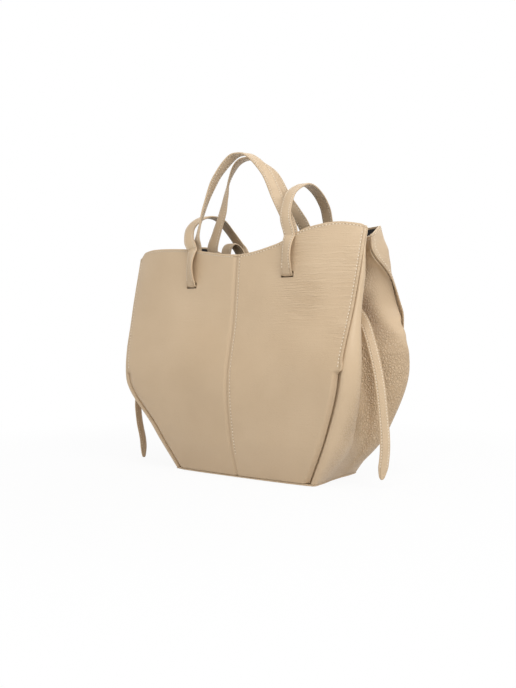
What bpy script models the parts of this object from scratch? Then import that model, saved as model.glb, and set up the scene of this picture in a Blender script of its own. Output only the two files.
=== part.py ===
"""Soft leather tote bag: lapped front and back panels, folded gussets, a threaded strap and two side laces.

Metres, +Z up. The origin is on the ground under the middle of the base, and the front faces -Y.
A point of the body is found from x across the bag and v, its share of the rim's height.
"""

import math

import bmesh
import bpy
import numpy as np

# Overall body
BASE_WIDTH = 0.190
BASE_DEPTH = 0.104
BELLY_WIDTH = 0.304
BELLY_DEPTH = 0.140
MOUTH_DEPTH = 0.110
RIM_CENTRE_HEIGHT = 0.260
WING_SPREAD = 0.115

# The side facing +X is cinched tighter than the other, so its wing stands taller
WING_HEIGHT = {1: 0.293, -1: 0.278}
CORNER_HEIGHT = {1: 0.290, -1: 0.270}
MOUTH_HALF_WIDTH = {1: 0.150, -1: 0.168}
MOUTH_CORNER_DEPTH = {1: 0.022, -1: 0.040}
MOUTH_VALLEY = {1: 0.088, -1: 0.108}
BELLY_LEAN = {1: -0.010, -1: 0.012}
SHOULDER = {1: -0.002, -1: 0.002}

# How the walls swell and the gussets fold, at each of the LEVELS where five values are given
FOOT_FLARE = 0.026
BELLY_EASE = 0.006
FOOT_EASE = 0.003
SEAM_TURN = (0.008, 0.010, 0.008, 0.005, 0.004)
RIDGE_OUT = {1: (0.010, 0.022, 0.022, 0.007, 0.003), -1: (0.010, 0.020, 0.012, 0.005, 0.003)}
RIDGE_IN = (0.018, 0.026, 0.018, 0.014, 0.012)
RIDGE_BACK_FULLNESS = {1: (0.0, 0.010, 0.011, 0.005, 0.0), -1: (0.0, 0.0, 0.006, 0.004, 0.0)}
FOLD_HALF_GAP = (0.018, 0.018, 0.018, 0.009, 0.0065)
FOLD_PAST_FOOT = 0.008
FOLD_PAST_FLARE = 0.010
FOLD_INSIDE_BELLY = {1: 0.018, -1: 0.030}
FOLD_INSIDE_SHOULDER = {1: 0.006, -1: 0.012}

# Leather, lining and board
LEATHER = 0.0018
LINING = 0.0006
BOARD = 0.0015
LINING_TOP = 0.08
GAP = 0.0003
LAP = 0.008
LAP_RAMP = 0.006
LAP_GAP = 0.0006

# Strap and slots
STRAP_WIDTH = 0.014
STRAP_THICKNESS = 0.0028
STRAP_CLEARANCE = 0.0009
FOOT_ABOVE_RIM = 0.002
SLOT_SPACING = 0.136
SLOT_BELOW_RIM = 0.041
SLOT_SIDE_CLEARANCE = 0.0010
HANDLE_END_GAP = 0.0006
LOOP_END_GAP = 0.0010
HANDLE_RISE = 0.114
LOOP_RISE = {1: 0.068, -1: 0.048}

# Side laces
LACE_WIDTH = 0.0115
LACE_THICKNESS = 0.0024
LACE_POINT = 0.016
LACE_SHARE = 0.72
LACE_TURN = {1: 42.0, -1: 92.0}

# Mesh fineness
BODY_ROWS = 14
PANEL_COLUMNS = 6
GUSSET_COUNT = 19
EDGE_ROUND = 0.0009

# Finishes: colour and roughness
HIDE = ((0.56, 0.44, 0.31), 0.52)
STRAP_HIDE = ((0.58, 0.45, 0.32), 0.48)
DARK_CLOTH = ((0.018, 0.016, 0.018), 0.85)
FIBREBOARD = ((0.10, 0.09, 0.08), 0.80)

FRONT, BACK = -1, 1
RIGHT, LEFT = 1, -1
SIDE_NAME = {RIGHT: "right", LEFT: "left"}
FACE_NAME = {FRONT: "front", BACK: "back"}

# Heights, as shares of the rim's height, at which the section is set
LEVELS = (0.0, 0.18, 0.42, 0.72, 1.0)

COLLECTION = "tote_bag"
GUIDES = "tote_bag_cutters"


def reset():
    for thing in list(bpy.data.objects):
        bpy.data.objects.remove(thing, do_unlink=True)
    for name in (COLLECTION, GUIDES):
        found = bpy.data.collections.get(name)
        if found is None:
            found = bpy.data.collections.new(name)
            bpy.context.scene.collection.children.link(found)


def material(name, finish):
    colour, roughness = finish
    made = bpy.data.materials.new(name)
    made.use_nodes = True
    shader = made.node_tree.nodes["Principled BSDF"]
    shader.inputs["Base Color"].default_value = (*colour, 1.0)
    shader.inputs["Roughness"].default_value = roughness
    shader.inputs["Metallic"].default_value = 0.0
    made.diffuse_color = (*colour, 1.0)
    return made


def ease(x, xs, ys):
    """A smooth curve through the points (xs, ys) that never overshoots them."""
    xs, ys = np.asarray(xs, float), np.asarray(ys, float)
    x = np.clip(x, xs[0], xs[-1])
    slope = np.diff(ys) / np.diff(xs)
    tangent = np.concatenate([slope[:1], np.zeros(len(ys) - 2), slope[-1:]])
    left, right = slope[:-1], slope[1:]
    same = left * right > 0
    mean = 2 * left * right / np.where(same, left + right, 1.0)
    tangent[1:-1] = np.where(same, mean, 0.0)
    i = np.clip(np.searchsorted(xs, x, side="right") - 1, 0, len(xs) - 2)
    step = xs[i + 1] - xs[i]
    t = (x - xs[i]) / step
    return (
        ys[i] * (1 + 2 * t) * (1 - t) ** 2
        + tangent[i] * step * t * (1 - t) ** 2
        + ys[i + 1] * t * t * (3 - 2 * t)
        + tangent[i + 1] * step * t * t * (t - 1)
    )


def smoothstep(t):
    t = np.clip(t, 0.0, 1.0)
    return t * t * (3 - 2 * t)


def seam_x(side, v):
    """Distance from the middle to the seam between panel and gusset."""
    half, foot, belly = MOUTH_HALF_WIDTH[side], BASE_WIDTH / 2, BELLY_WIDTH / 2
    return ease(v, LEVELS, (foot, foot + FOOT_FLARE, belly + BELLY_LEAN[side], half + SHOULDER[side], half))


def seam_depth(side, v):
    """Distance of that seam from the bag's middle plane, front to back."""
    corner, belly = MOUTH_CORNER_DEPTH[side], BELLY_DEPTH / 2
    return ease(v, LEVELS, (BASE_DEPTH / 2, belly - BELLY_EASE, belly, (belly + corner) / 2, corner))


def middle_depth(v):
    """Half the bag's depth at the centre seams."""
    foot, belly, mouth = BASE_DEPTH / 2 + FOOT_EASE, BELLY_DEPTH / 2, MOUTH_DEPTH / 2
    return ease(v, LEVELS, (foot, belly, belly + BELLY_EASE, belly - BELLY_EASE, mouth))


def rim_height(x, v):
    """Height of the rim over a point x across the bag: low at the centre seam, tallest at the two wings."""
    side_right = x >= 0
    reach = np.where(side_right, seam_x(RIGHT, v), seam_x(LEFT, v))
    share = np.clip(np.abs(x) / reach, 0.0, 1.3)
    wing = WING_SPREAD / MOUTH_HALF_WIDTH[RIGHT]
    marks = (0.0, 0.45 * wing, wing, 1.0, 1.3)

    def side_height(side):
        top, corner = WING_HEIGHT[side], CORNER_HEIGHT[side]
        slope = RIM_CENTRE_HEIGHT + 0.35 * (top - RIM_CENTRE_HEIGHT)
        return ease(share, marks, (RIM_CENTRE_HEIGHT, slope, top, corner, corner))

    return np.where(side_right, side_height(RIGHT), side_height(LEFT))


def floor_level():
    """The walls stand on the base panel."""
    return LEATHER + GAP


def wall_height(x, v):
    low = floor_level()
    return low + v * (rim_height(x, v) - low)


def panel_surface(face, x, v):
    """Outer surface of the front or back, as points; x may run a little past the seam."""
    x, v = np.broadcast_arrays(np.asarray(x, float), np.asarray(v, float))
    right = x >= 0
    reach = np.where(right, seam_x(RIGHT, v), seam_x(LEFT, v))
    corner = np.where(right, seam_depth(RIGHT, v), seam_depth(LEFT, v))
    bow = 1 - (np.abs(x) / reach) ** 2.4
    depth = corner + (middle_depth(v) - corner) * bow
    return np.stack([x, face * depth, wall_height(x, v)], -1)


def panel_normal(face, x, v):
    small = 1e-4
    along = panel_surface(face, x + small, v) - panel_surface(face, x - small, v)
    up = panel_surface(face, x, v + small) - panel_surface(face, x, v - small)
    normal = np.cross(up, along) * face
    return normal / np.linalg.norm(normal, axis=-1, keepdims=True)


def inset_panel(face, x, v, depth):
    """A layer that lies a given depth inside the outer surface."""
    depth = np.asarray(depth, float)[..., None]
    return panel_surface(face, x, v) - panel_normal(face, x, v) * depth


def new_object(name, vertices, faces, finish):
    mesh = bpy.data.meshes.new(name)
    mesh.from_pydata([tuple(p) for p in vertices], [], faces)
    mesh.update()
    made = bpy.data.objects.new(name, mesh)
    made.data.materials.append(material(name, finish))
    bpy.data.collections[COLLECTION].objects.link(made)
    return made


def loft(name, grid, finish, flip):
    """An open sheet through rows of points."""
    rows, columns = grid.shape[:2]
    faces = []
    for i in range(rows - 1):
        for j in range(columns - 1):
            a = i * columns + j
            quad = (a, a + 1, a + columns + 1, a + columns)
            faces.append(quad[::-1] if flip else quad)
    return new_object(name, grid.reshape(-1, 3), faces, finish)


def thicken(sheet, thickness, offset):
    solid = sheet.modifiers.new("wall", "SOLIDIFY")
    solid.thickness = thickness
    solid.offset = offset
    solid.use_even_offset = True
    return solid


def shade(made, angle=35):
    made.data.shade_smooth()
    made.data.set_sharp_from_angle(angle=math.radians(angle))


def rows_up():
    return np.linspace(0.0, 1.0, BODY_ROWS)[:, None]


def clear_of_lap():
    """How far the lining's edge stays from the panel's, beside the gusset's hidden edge."""
    return LAP + 4 * GAP


def half_columns(side, v):
    """Distances across one half, from the centre lap to the gusset seam, for leather and lining alike."""
    reach = seam_x(side, v)
    fold = LAP_RAMP if side == LEFT else LAP + 2 * LAP_RAMP
    near = (-LAP, 0.0, fold / 2, fold) if side == LEFT else (0.0, LAP + 2 * GAP, fold)
    far = reach - clear_of_lap()
    between = fold + (far - fold) * np.linspace(0.0, 1.0, PANEL_COLUMNS)[None, 1:]
    return np.concatenate([np.broadcast_to(near, (len(v), len(near))), between, reach], 1)


def tuck(x):
    """Depth of the left half's outer face: it starts under the right half and ramps up beside it."""
    return (LEATHER + GAP) * (1 - smoothstep(x / LAP_RAMP))


def half_panel(face, side, finish):
    """One half of the front or back. The left half's centre edge is tucked under the right half's."""
    v = rows_up()
    x = half_columns(side, v)
    depth = tuck(x) if side == LEFT else np.zeros_like(x)
    grid = inset_panel(face, side * x, np.broadcast_to(v, x.shape), depth)
    name = f"{FACE_NAME[face]}_panel_{SIDE_NAME[side]}"
    sheet = loft(name, grid, finish, flip=(face * side) == BACK * RIGHT)
    thicken(sheet, LEATHER, -1.0)
    return sheet


def trimmed(grid):
    """The rows of a lining, which ends just under the rim."""
    top = grid[-1] + (grid[-2] - grid[-1]) * LINING_TOP
    return np.concatenate([grid[:-1], top[None]])


def face_lining(face, finish):
    """Dark lining behind the front or back, from gusset to gusset, passing under the centre lap."""
    v = rows_up()
    left = -half_columns(LEFT, v)[:, 1:-1][:, ::-1]
    right = half_columns(RIGHT, v)[:, 1:-1]
    x = np.concatenate([left, right], 1)
    folded = (x > -LAP_RAMP) & (x < LAP + LAP_RAMP)
    under = np.where(folded, tuck(np.maximum(-x, 0.0)) + LAP_GAP, 0.0)
    grid = inset_panel(face, x, np.broadcast_to(v, x.shape), LEATHER + GAP + under)
    sheet = loft(f"{FACE_NAME[face]}_lining", trimmed(grid), finish, flip=face == BACK)
    thicken(sheet, LINING, -1.0)
    return sheet


def section_controls(side, v):
    """Control points, front half only, of the level section that the gusset follows from lap to fold."""
    x, depth = seam_x(side, v), seam_depth(side, v)
    foot, belly, mouth = BASE_WIDTH / 2, BELLY_WIDTH / 2 + BELLY_LEAN[side], MOUTH_VALLEY[side]
    seam = panel_surface(FRONT, side * x, v)[:2]
    inner = panel_surface(FRONT, side * (x - LAP), v)[:2]
    along = seam - panel_surface(FRONT, side * (x - 0.001), v)[:2]
    along = along / np.linalg.norm(along)
    turn = seam + along * ease(v, LEVELS, SEAM_TURN)
    ridge_x = x + ease(v, LEVELS, RIDGE_OUT[side])
    ridge = np.array([side * ridge_x, ease(v, LEVELS, RIDGE_IN) - depth])
    low, flare = foot + FOLD_PAST_FOOT, foot + FOOT_FLARE + FOLD_PAST_FLARE
    shoulder = (belly + mouth) / 2 - FOLD_INSIDE_SHOULDER[side]
    fold = ease(v, LEVELS, (low, flare, belly - FOLD_INSIDE_BELLY[side], shoulder, mouth))
    half_gap = ease(v, LEVELS, FOLD_HALF_GAP)
    wall = np.array([side * (fold + 0.45 * (ridge_x - fold)), -half_gap])
    valley = np.array([side * fold, -0.75 * half_gap])
    return np.array([inner, seam, turn, ridge, wall, valley])


def rounded(controls, steps):
    """Points along the smooth curve that touches the middle of each side of the control polygon."""
    points = [controls[0]]
    for a, b, c in zip(controls[:-2], controls[1:-1], controls[2:]):
        start, end = (a + b) / 2, (b + c) / 2
        for t in np.linspace(0.0, 1.0, steps, endpoint=False):
            points.append(start * (1 - t) ** 2 + 2 * b * t * (1 - t) + end * t * t)
    points.append((controls[-2] + controls[-1]) / 2)
    points.append(controls[-1])
    return np.array(points)


def evenly(points, count):
    """Points at equal steps of length; columns past the third, such as a turn, follow along."""
    steps = np.linalg.norm(np.diff(points[:, :3], axis=0), axis=1)
    lengths = np.concatenate([[0.0], np.cumsum(steps)])
    wanted = np.linspace(0.0, lengths[-1], count)
    return np.stack([np.interp(wanted, lengths, points[:, k]) for k in range(points.shape[1])], 1)


def offset_line(line, depth, side):
    """The line moved sideways into the bag, without the loops that form inside tight bends."""
    tangent = np.gradient(line, axis=0)
    tangent /= np.linalg.norm(tangent, axis=1, keepdims=True)
    moved = line + side * depth * np.stack([-tangent[:, 1], tangent[:, 0]], 1)
    apart = np.linalg.norm(moved[:, None] - line[None], axis=2).min(1)
    return moved[apart > 0.985 * depth]


def gusset_row(side, v, depth, count):
    """One level of the gusset from the front lap round the fold to the fuller back, inset by a depth."""
    front = section_controls(side, v)
    back = front.copy()
    back[3, 0] += side * ease(v, LEVELS, RIDGE_BACK_FULLNESS[side])
    back = back[::-1] * np.array([1.0, -1.0])
    line = evenly(rounded(np.concatenate([front, back]), 12), 240)
    flat = evenly(offset_line(line, depth, side), count)
    return np.column_stack([flat, wall_height(flat[:, 0], v)])


def gusset_grid(side):
    return np.array([gusset_row(side, v, LEATHER + LAP_GAP, GUSSET_COUNT) for v in rows_up()[:, 0]])


def gusset(side, finish):
    """Side panel lapped under the front and back, full at the base and folded inwards at the mouth."""
    sheet = loft(f"gusset_{SIDE_NAME[side]}", gusset_grid(side), finish, flip=side == LEFT)
    thicken(sheet, LEATHER, -1.0)
    return sheet


def gusset_lining(side, finish):
    """Dark lining inside the gusset: the same sheet, thickened on its far side only."""
    sheet = loft(f"{SIDE_NAME[side]}_lining", trimmed(gusset_grid(side)), finish, flip=side == LEFT)
    thicken(sheet, LINING, -1.0 - 2 * (LEATHER + 2 * GAP) / LINING)
    return sheet


def base_outline(inset):
    """The foot of the walls seen from above, inset by a distance, clockwise from the front."""
    def along_face(face):
        x = np.linspace(LAP - BASE_WIDTH / 2, BASE_WIDTH / 2 - LAP, 7)
        return inset_panel(face, x, np.zeros_like(x), np.full_like(x, inset))[:, :2]

    right = gusset_row(RIGHT, 0.0, LEATHER + LAP_GAP + inset, GUSSET_COUNT)[:, :2]
    left = gusset_row(LEFT, 0.0, LEATHER + LAP_GAP + inset, GUSSET_COUNT)[:, :2]
    return np.concatenate([along_face(FRONT), right[2:-2], along_face(BACK)[::-1], left[2:-2][::-1]])


def plate(name, outline, bottom, thickness, finish):
    """A flat piece: the filled outline, extruded by half its thickness each way."""
    curve = bpy.data.curves.new(name, "CURVE")
    curve.dimensions = "2D"
    curve.fill_mode = "BOTH"
    curve.extrude = thickness / 2
    spline = curve.splines.new("POLY")
    spline.points.add(len(outline) - 1)
    for point, (x, y) in zip(spline.points, outline):
        point.co = (x, y, 0.0, 1.0)
    spline.use_cyclic_u = True
    guide = bpy.data.objects.new(name, curve)
    bpy.data.collections[COLLECTION].objects.link(guide)
    guide.location.z = bottom + thickness / 2
    bpy.context.view_layer.update()
    solid = as_mesh(guide)
    solid.data.materials.clear()
    solid.data.materials.append(material(name, finish))
    return solid


def as_mesh(guide):
    """The evaluated object as a mesh object of the same name, with its loose caps welded."""
    evaluated = guide.evaluated_get(bpy.context.evaluated_depsgraph_get())
    mesh = bpy.data.meshes.new_from_object(evaluated)
    work = bmesh.new()
    work.from_mesh(mesh)
    bmesh.ops.remove_doubles(work, verts=work.verts, dist=1e-6)
    work.to_mesh(mesh)
    work.free()
    name, place = guide.name, guide.matrix_world.copy()
    bpy.data.objects.remove(guide, do_unlink=True)
    solid = bpy.data.objects.new(name, mesh)
    solid.matrix_world = place
    bpy.data.collections[COLLECTION].objects.link(solid)
    return solid


def smooth_route(points, turns, count):
    """A smooth line through route points, with the strap's turn about the vertical at each, spaced evenly."""
    points, turns = np.asarray(points, float), np.asarray(turns, float)
    padded = np.concatenate([[2 * points[0] - points[1]], points, [2 * points[-1] - points[-2]]])
    line, angle = [], []
    for i in range(len(points) - 1):
        a, b, c, d = padded[i : i + 4]
        for t in np.linspace(0.0, 1.0, 12, endpoint=False):
            square = (2 * a - 5 * b + 4 * c - d) * t * t
            cube = (3 * b - 3 * c + d - a) * t**3
            line.append(0.5 * (2 * b + (c - a) * t + square + cube))
            angle.append(turns[i] + (turns[i + 1] - turns[i]) * smoothstep(t))
    line.append(points[-1])
    angle.append(turns[-1])
    return evenly(np.column_stack([line, angle]), count)


def ribbon(name, line, sides, width, finish, thickness, pivot=(0.0, 0.0, 0.0), taper=None):
    """A flat strap along a line: a strip between its two edges, thickened and with rounded edges.

    Both ends are cut level, so that stretches which meet end to end stay clear of each other. A strap
    that swings has its origin at a pivot on its axis.
    """
    tangent = np.gradient(line, axis=0)
    tangent /= np.linalg.norm(tangent, axis=1, keepdims=True)
    tangent[[0, -1]] = (0.0, 0.0, 1.0)
    sides = sides - tangent * np.sum(sides * tangent, 1, keepdims=True)
    sides /= np.linalg.norm(sides, axis=1, keepdims=True)
    half = np.full(len(line), width / 2) if taper is None else width / 2 * taper
    grid = np.stack([line - sides * half[:, None], line + sides * half[:, None]], 1)
    strip = loft(name, grid - np.asarray(pivot), finish, flip=False)
    strip.location = pivot
    thicken(strip, thickness, 0.0).use_even_offset = False
    bevel = strip.modifiers.new("edge", "BEVEL")
    bevel.width = EDGE_ROUND
    bevel.segments = 1
    bevel.limit_method = "ANGLE"
    bevel.angle_limit = math.radians(50)
    shade(strip, 50)
    return strip


def slot_share(face, side):
    """v of a strap slot's centre."""
    x = side * SLOT_SPACING / 2
    top = float(rim_height(x, 1.0))
    return (top - SLOT_BELOW_RIM - floor_level()) / (top - floor_level())


def wall_thickness():
    """Leather, lining and the gap between them, where a strap passes."""
    return LEATHER + GAP + LINING


def leg_offset():
    """How far a strap's middle lies from the wall face that it rests on."""
    return STRAP_THICKNESS / 2 + STRAP_CLEARANCE


def turn_radius():
    return wall_thickness() / 2 + leg_offset()


def strap_leg(face, side, v, inside):
    """Middle of the strap where it lies on the panel above its slot, outside or inside."""
    x = np.full(np.shape(v), side * SLOT_SPACING / 2)
    depth = wall_thickness() + leg_offset() if inside else -leg_offset()
    return inset_panel(face, x, np.asarray(v, float), np.full(np.shape(v), depth))


def threaded_bend(face, side):
    """The strap's half turn through its slot, from the outer leg to the inner one."""
    low = np.array([slot_share(face, side)])
    outer = strap_leg(face, side, low, False)[0]
    inner = strap_leg(face, side, low, True)[0]
    down = np.array([0.0, 0.0, -turn_radius()])
    angles = np.linspace(0.0, math.pi, 9)[:, None]
    return (outer + inner) / 2 + (outer - inner) / 2 * np.cos(angles) + down * np.sin(angles)


def threaded_line(face, side, inner_top):
    """The strap from the rim outside, down to the slot, through it and up inside."""
    low = slot_share(face, side)
    outer = strap_leg(face, side, np.linspace(1.0, low, 5), False)
    inner = strap_leg(face, side, np.linspace(low, inner_top, 5), True)
    return np.concatenate([outer, threaded_bend(face, side)[1:-1], inner])


def slot_cutter(face, side):
    """A block through panel and lining, from just under the strap's turn to just over its middle."""
    bend = threaded_bend(face, side)
    along = straight_sides(1, face, side)[0]
    top = max(bend[0, 2], bend[-1, 2]) + STRAP_CLEARANCE
    bottom = bend[:, 2].min() - STRAP_THICKNESS / 2 - STRAP_CLEARANCE
    bpy.ops.mesh.primitive_cube_add(size=1.0)
    cutter = bpy.context.object
    cutter.name = f"slot_cutter_{FACE_NAME[face]}_{SIDE_NAME[side]}"
    cutter.scale = (STRAP_WIDTH + 2 * SLOT_SIDE_CLEARANCE, 4 * turn_radius(), top - bottom)
    cutter.location = ((bend[0, 0] + bend[-1, 0]) / 2, (bend[0, 1] + bend[-1, 1]) / 2, (top + bottom) / 2)
    cutter.rotation_euler.z = math.atan2(along[1], along[0])
    bpy.ops.object.transform_apply(location=False, rotation=False, scale=True)
    for owner in list(cutter.users_collection):
        owner.objects.unlink(cutter)
    bpy.data.collections[GUIDES].objects.link(cutter)
    cutter.hide_render = True
    cutter.display_type = "WIRE"
    return cutter


def cut(target, cutter):
    boolean = target.modifiers.new("slot", "BOOLEAN")
    boolean.operation = "DIFFERENCE"
    boolean.solver = "EXACT"
    boolean.object = cutter


def straight_sides(count, face, side):
    """Level width direction of a strap lying on a panel."""
    small = 1e-3
    x = side * SLOT_SPACING / 2
    along = (panel_surface(face, x + small, 0.9) - panel_surface(face, x - small, 0.9)) * (1.0, 1.0, 0.0)
    return np.tile(along / np.linalg.norm(along), (count, 1))


def turned_sides(angles):
    """Width directions for angles, in degrees, from +X towards +Y."""
    turn = np.radians(angles)
    return np.stack([np.cos(turn), np.sin(turn), np.zeros_like(turn)], 1)


def handle_foot(face, side):
    """Where a tall handle begins, inside the bag at the rim."""
    inner = strap_leg(face, side, np.array([1.0]), True)[0]
    if face == FRONT:
        return inner + np.array([0.0, 0.0005, FOOT_ABOVE_RIM])
    forward = 0.036 if side == RIGHT else 0.072
    inward = 0.012 if side == RIGHT else 0.006
    return inner + np.array([-side * inward, -forward, 0.004])


def foot_turn(face):
    """Direction, in degrees, of the line on which a tall handle hinges."""
    along = handle_foot(face, RIGHT) - handle_foot(face, LEFT)
    return math.degrees(math.atan2(along[1], along[0]))


# A handle's arch from its left foot: share of the way to the right foot, then shift to the back and
# height as shares of the rise, then the strap's turn in degrees
FRONT_ARCH = (
    (0.02, -0.01, 0.17, 137),
    (0.07, 0.03, 0.45, 114),
    (0.15, 0.09, 0.74, 92),
    (0.27, 0.15, 0.94, 76),
    (0.37, 0.17, 0.985, 70),
    (0.50, 0.16, 0.93, 62),
    (0.665, 0.15, 0.72, 48),
    (0.80, 0.105, 0.43, 36),
    (0.95, 0.035, 0.14, 16),
)
BACK_ARCH = (
    (0.03, 0.025, 0.17, 176),
    (0.07, 0.06, 0.37, 168),
    (0.09, 0.09, 0.56, 150),
    (0.12, 0.105, 0.75, 124),
    (0.22, 0.07, 0.905, 104),
    (0.36, 0.01, 0.945, 88),
    (0.52, -0.05, 0.88, 74),
    (0.715, -0.12, 0.70, 52),
    (0.86, -0.15, 0.42, 38),
    (0.98, -0.05, 0.15, 22),
)
STRAIGHT_SHARE = 0.045


def arch_route(left, right, shape, rise):
    """Route points from foot to foot; the shares of shift and height are of the rise, a vector up."""
    shift = np.array([0.0, rise, 0.0])
    lift = np.array([0.0, 0.0, rise])
    over = [left + (right - left) * s + shift * back + lift * up for s, back, up, _ in shape]
    return np.array([left, left + lift * STRAIGHT_SHARE, *over, right + lift * STRAIGHT_SHARE, right])


def handle(face, finish):
    """One tall handle above its hinge line, turned on itself so that it lies flat in the hand."""
    left, right = handle_foot(face, LEFT), handle_foot(face, RIGHT)
    shape = FRONT_ARCH if face == FRONT else BACK_ARCH
    turn = foot_turn(face)
    turns = [turn + 180] * 2 + [entry[3] for entry in shape] + [turn] * 2
    sampled = smooth_route(arch_route(left, right, shape, HANDLE_RISE), turns, 34)
    line, angles = sampled[:, :3], sampled[:, 3]
    pivot = (left + right) / 2
    sides = turned_sides(angles)
    return ribbon(f"{FACE_NAME[face]}_handle", line, sides, STRAP_WIDTH, finish, STRAP_THICKNESS, pivot)


# A loop's arch from its front foot: share of the way to the back foot, then shift away from the middle
# and height as shares of the rise
LOOP_SHAPE = {
    RIGHT: (
        (0.000, -0.015, 0.08),
        (0.012, -0.09, 0.31),
        (0.080, -0.13, 0.55),
        (0.210, -0.15, 0.81),
        (0.500, -0.16, 1.00),
        (0.750, -0.16, 0.92),
        (0.920, -0.13, 0.67),
        (1.000, -0.12, 0.35),
        (1.000, -0.015, 0.08),
    ),
    LEFT: (
        (0.000, 0.04, 0.08),
        (0.030, 0.19, 0.28),
        (0.110, 0.29, 0.62),
        (0.240, 0.23, 0.89),
        (0.420, 0.21, 1.00),
        (0.630, 0.23, 0.96),
        (0.870, 0.31, 0.68),
        (1.000, 0.19, 0.30),
        (1.000, 0.04, 0.08),
    ),
}


def loop_feet(side):
    return [strap_leg(face, side, np.array([1.0]), False)[0] for face in (FRONT, BACK)]


def side_loop(side, finish):
    """The short loop that joins the front and back slots of one side over the mouth."""
    front, back = loop_feet(side)
    rise = LOOP_RISE[side]
    over = [
        front + (back - front) * share + np.array([side * rise * out, 0.0, rise * up])
        for share, out, up in LOOP_SHAPE[side]
    ]
    sampled = smooth_route([front, *over, back], [0.0] * (len(over) + 2), 26)
    line = sampled[:, :3]
    line[0] += (line[1] - line[0]) / np.linalg.norm(line[1] - line[0]) * LOOP_END_GAP
    line[-1] += (line[-2] - line[-1]) / np.linalg.norm(line[-2] - line[-1]) * LOOP_END_GAP
    sides = turned_sides(np.zeros(len(line)))
    pivot = (front + back) / 2
    return ribbon(f"{SIDE_NAME[side]}_loop", line, sides, STRAP_WIDTH, finish, STRAP_THICKNESS, pivot)


def threaded_strap(face, side, finish):
    """The fixed stretch of strap at one slot, which reaches up inside to the handle's foot."""
    if face == FRONT:
        end = handle_foot(face, side) - np.array([0.0, 0.0, HANDLE_END_GAP])
        line = np.concatenate([threaded_line(face, side, 0.96), [end]])
        sides = straight_sides(len(line), face, side)
    else:
        line, sides = back_strap_line(side)
    name = f"{FACE_NAME[face]}_strap_{SIDE_NAME[side]}"
    return ribbon(name, line, sides, STRAP_WIDTH, finish, STRAP_THICKNESS)


# The left slack's little bow, as steps from the point where the strap leaves the back wall
SLACK_BOW = (
    (-0.004, -0.006, 0.014),
    (-0.006, -0.016, 0.019),
    (-0.006, -0.026, 0.013),
    (-0.005, -0.032, -0.004),
    (-0.001, -0.042, -0.020),
    (0.002, -0.056, -0.024),
)


def back_strap_line(side):
    """Behind, the slack of the strap crosses the bag to the handle's foot, over a small bow on the left."""
    foot = handle_foot(BACK, side) - np.array([0.0, 0.0, HANDLE_END_GAP])
    if side == RIGHT:
        threaded = threaded_line(BACK, side, 0.90)
        top = threaded[-1]
        sag = np.array([0.0, 0.0, -0.022])
        crossing = [top + (foot - top) * s + sag * math.sin(math.pi * s) for s in (0.3, 0.6, 0.85)]
        route = np.array([top, *crossing, foot - (0.0, 0.0, 0.006), foot])
    else:
        threaded = threaded_line(BACK, side, 0.985)
        top = threaded[-1]
        bow = [top + step for step in SLACK_BOW]
        route = np.array([top, *bow, foot + (0.0, 0.004, -0.012), foot - (0.0, 0.0, 0.005), foot])
    flat = straight_sides(len(threaded), BACK, side)
    start = math.degrees(math.atan2(flat[0, 1], flat[0, 0]))
    turns = start + (foot_turn(BACK) - start) * np.linspace(0.0, 1.0, len(route) - 1)
    sampled = smooth_route(route, [*turns, turns[-1]], 8 if side == RIGHT else 18)
    line = np.concatenate([threaded, sampled[1:, :3]])
    return line, np.concatenate([flat, turned_sides(sampled[1:, 3])])


# Where each lace hangs, from below its stitched end to its tip near the ground
LACE_ROUTE = {
    RIGHT: (
        (0.1390, -0.0120, 0.1880),
        (0.1505, -0.0150, 0.1650),
        (0.1630, -0.0190, 0.1250),
        (0.1690, -0.0200, 0.0850),
        (0.1715, -0.0195, 0.0450),
        (0.1668, -0.0180, 0.0100),
    ),
    LEFT: (
        (-0.1560, -0.0120, 0.1650),
        (-0.1740, -0.0220, 0.1250),
        (-0.1830, -0.0290, 0.0850),
        (-0.1800, -0.0310, 0.0550),
        (-0.1725, -0.0320, 0.0280),
        (-0.1700, -0.0330, 0.0050),
    ),
}


def lace(side, finish):
    """A tie sewn to the front wall of the gusset's fold, which hangs to a point above the ground."""
    anchor, wall_turn = lace_anchor(side)
    route = np.array([anchor, anchor + (side * 0.001, -0.0004, -0.005), *LACE_ROUTE[side]])
    hanging = LACE_TURN[side]
    turns = [wall_turn, wall_turn, (wall_turn + hanging) / 2] + [hanging] * (len(route) - 3)
    sampled = smooth_route(route, turns, 20)
    line = sampled[:, :3]
    remaining = np.linalg.norm(line[-1] - line, axis=1)
    taper = np.sqrt(np.clip(remaining / LACE_POINT, 0.0, 1.0)) * 0.75 + 0.25
    name = f"{SIDE_NAME[side]}_lace"
    sides = turned_sides(sampled[:, 3])
    return ribbon(name, line, sides, LACE_WIDTH, finish, LACE_THICKNESS, anchor, taper)


def lace_anchor(side):
    """A spot just off the front wall of the gusset's fold, and the wall's direction there in degrees."""
    row = gusset_row(side, LACE_SHARE, LEATHER + LAP_GAP, GUSSET_COUNT)
    k = round(GUSSET_COUNT * 0.36)
    tangent = row[k + 1, :2] - row[k - 1, :2]
    tangent /= np.linalg.norm(tangent)
    outward = np.array([tangent[1], -tangent[0]]) * side
    spot = row[k, :2] + outward * (LACE_THICKNESS / 2 + 2 * GAP)
    turn = math.degrees(math.atan2(tangent[1], tangent[0])) % 180.0
    return np.array([spot[0], spot[1], row[k, 2]]), turn if side == LEFT or turn < 90 else turn - 180.0


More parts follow.
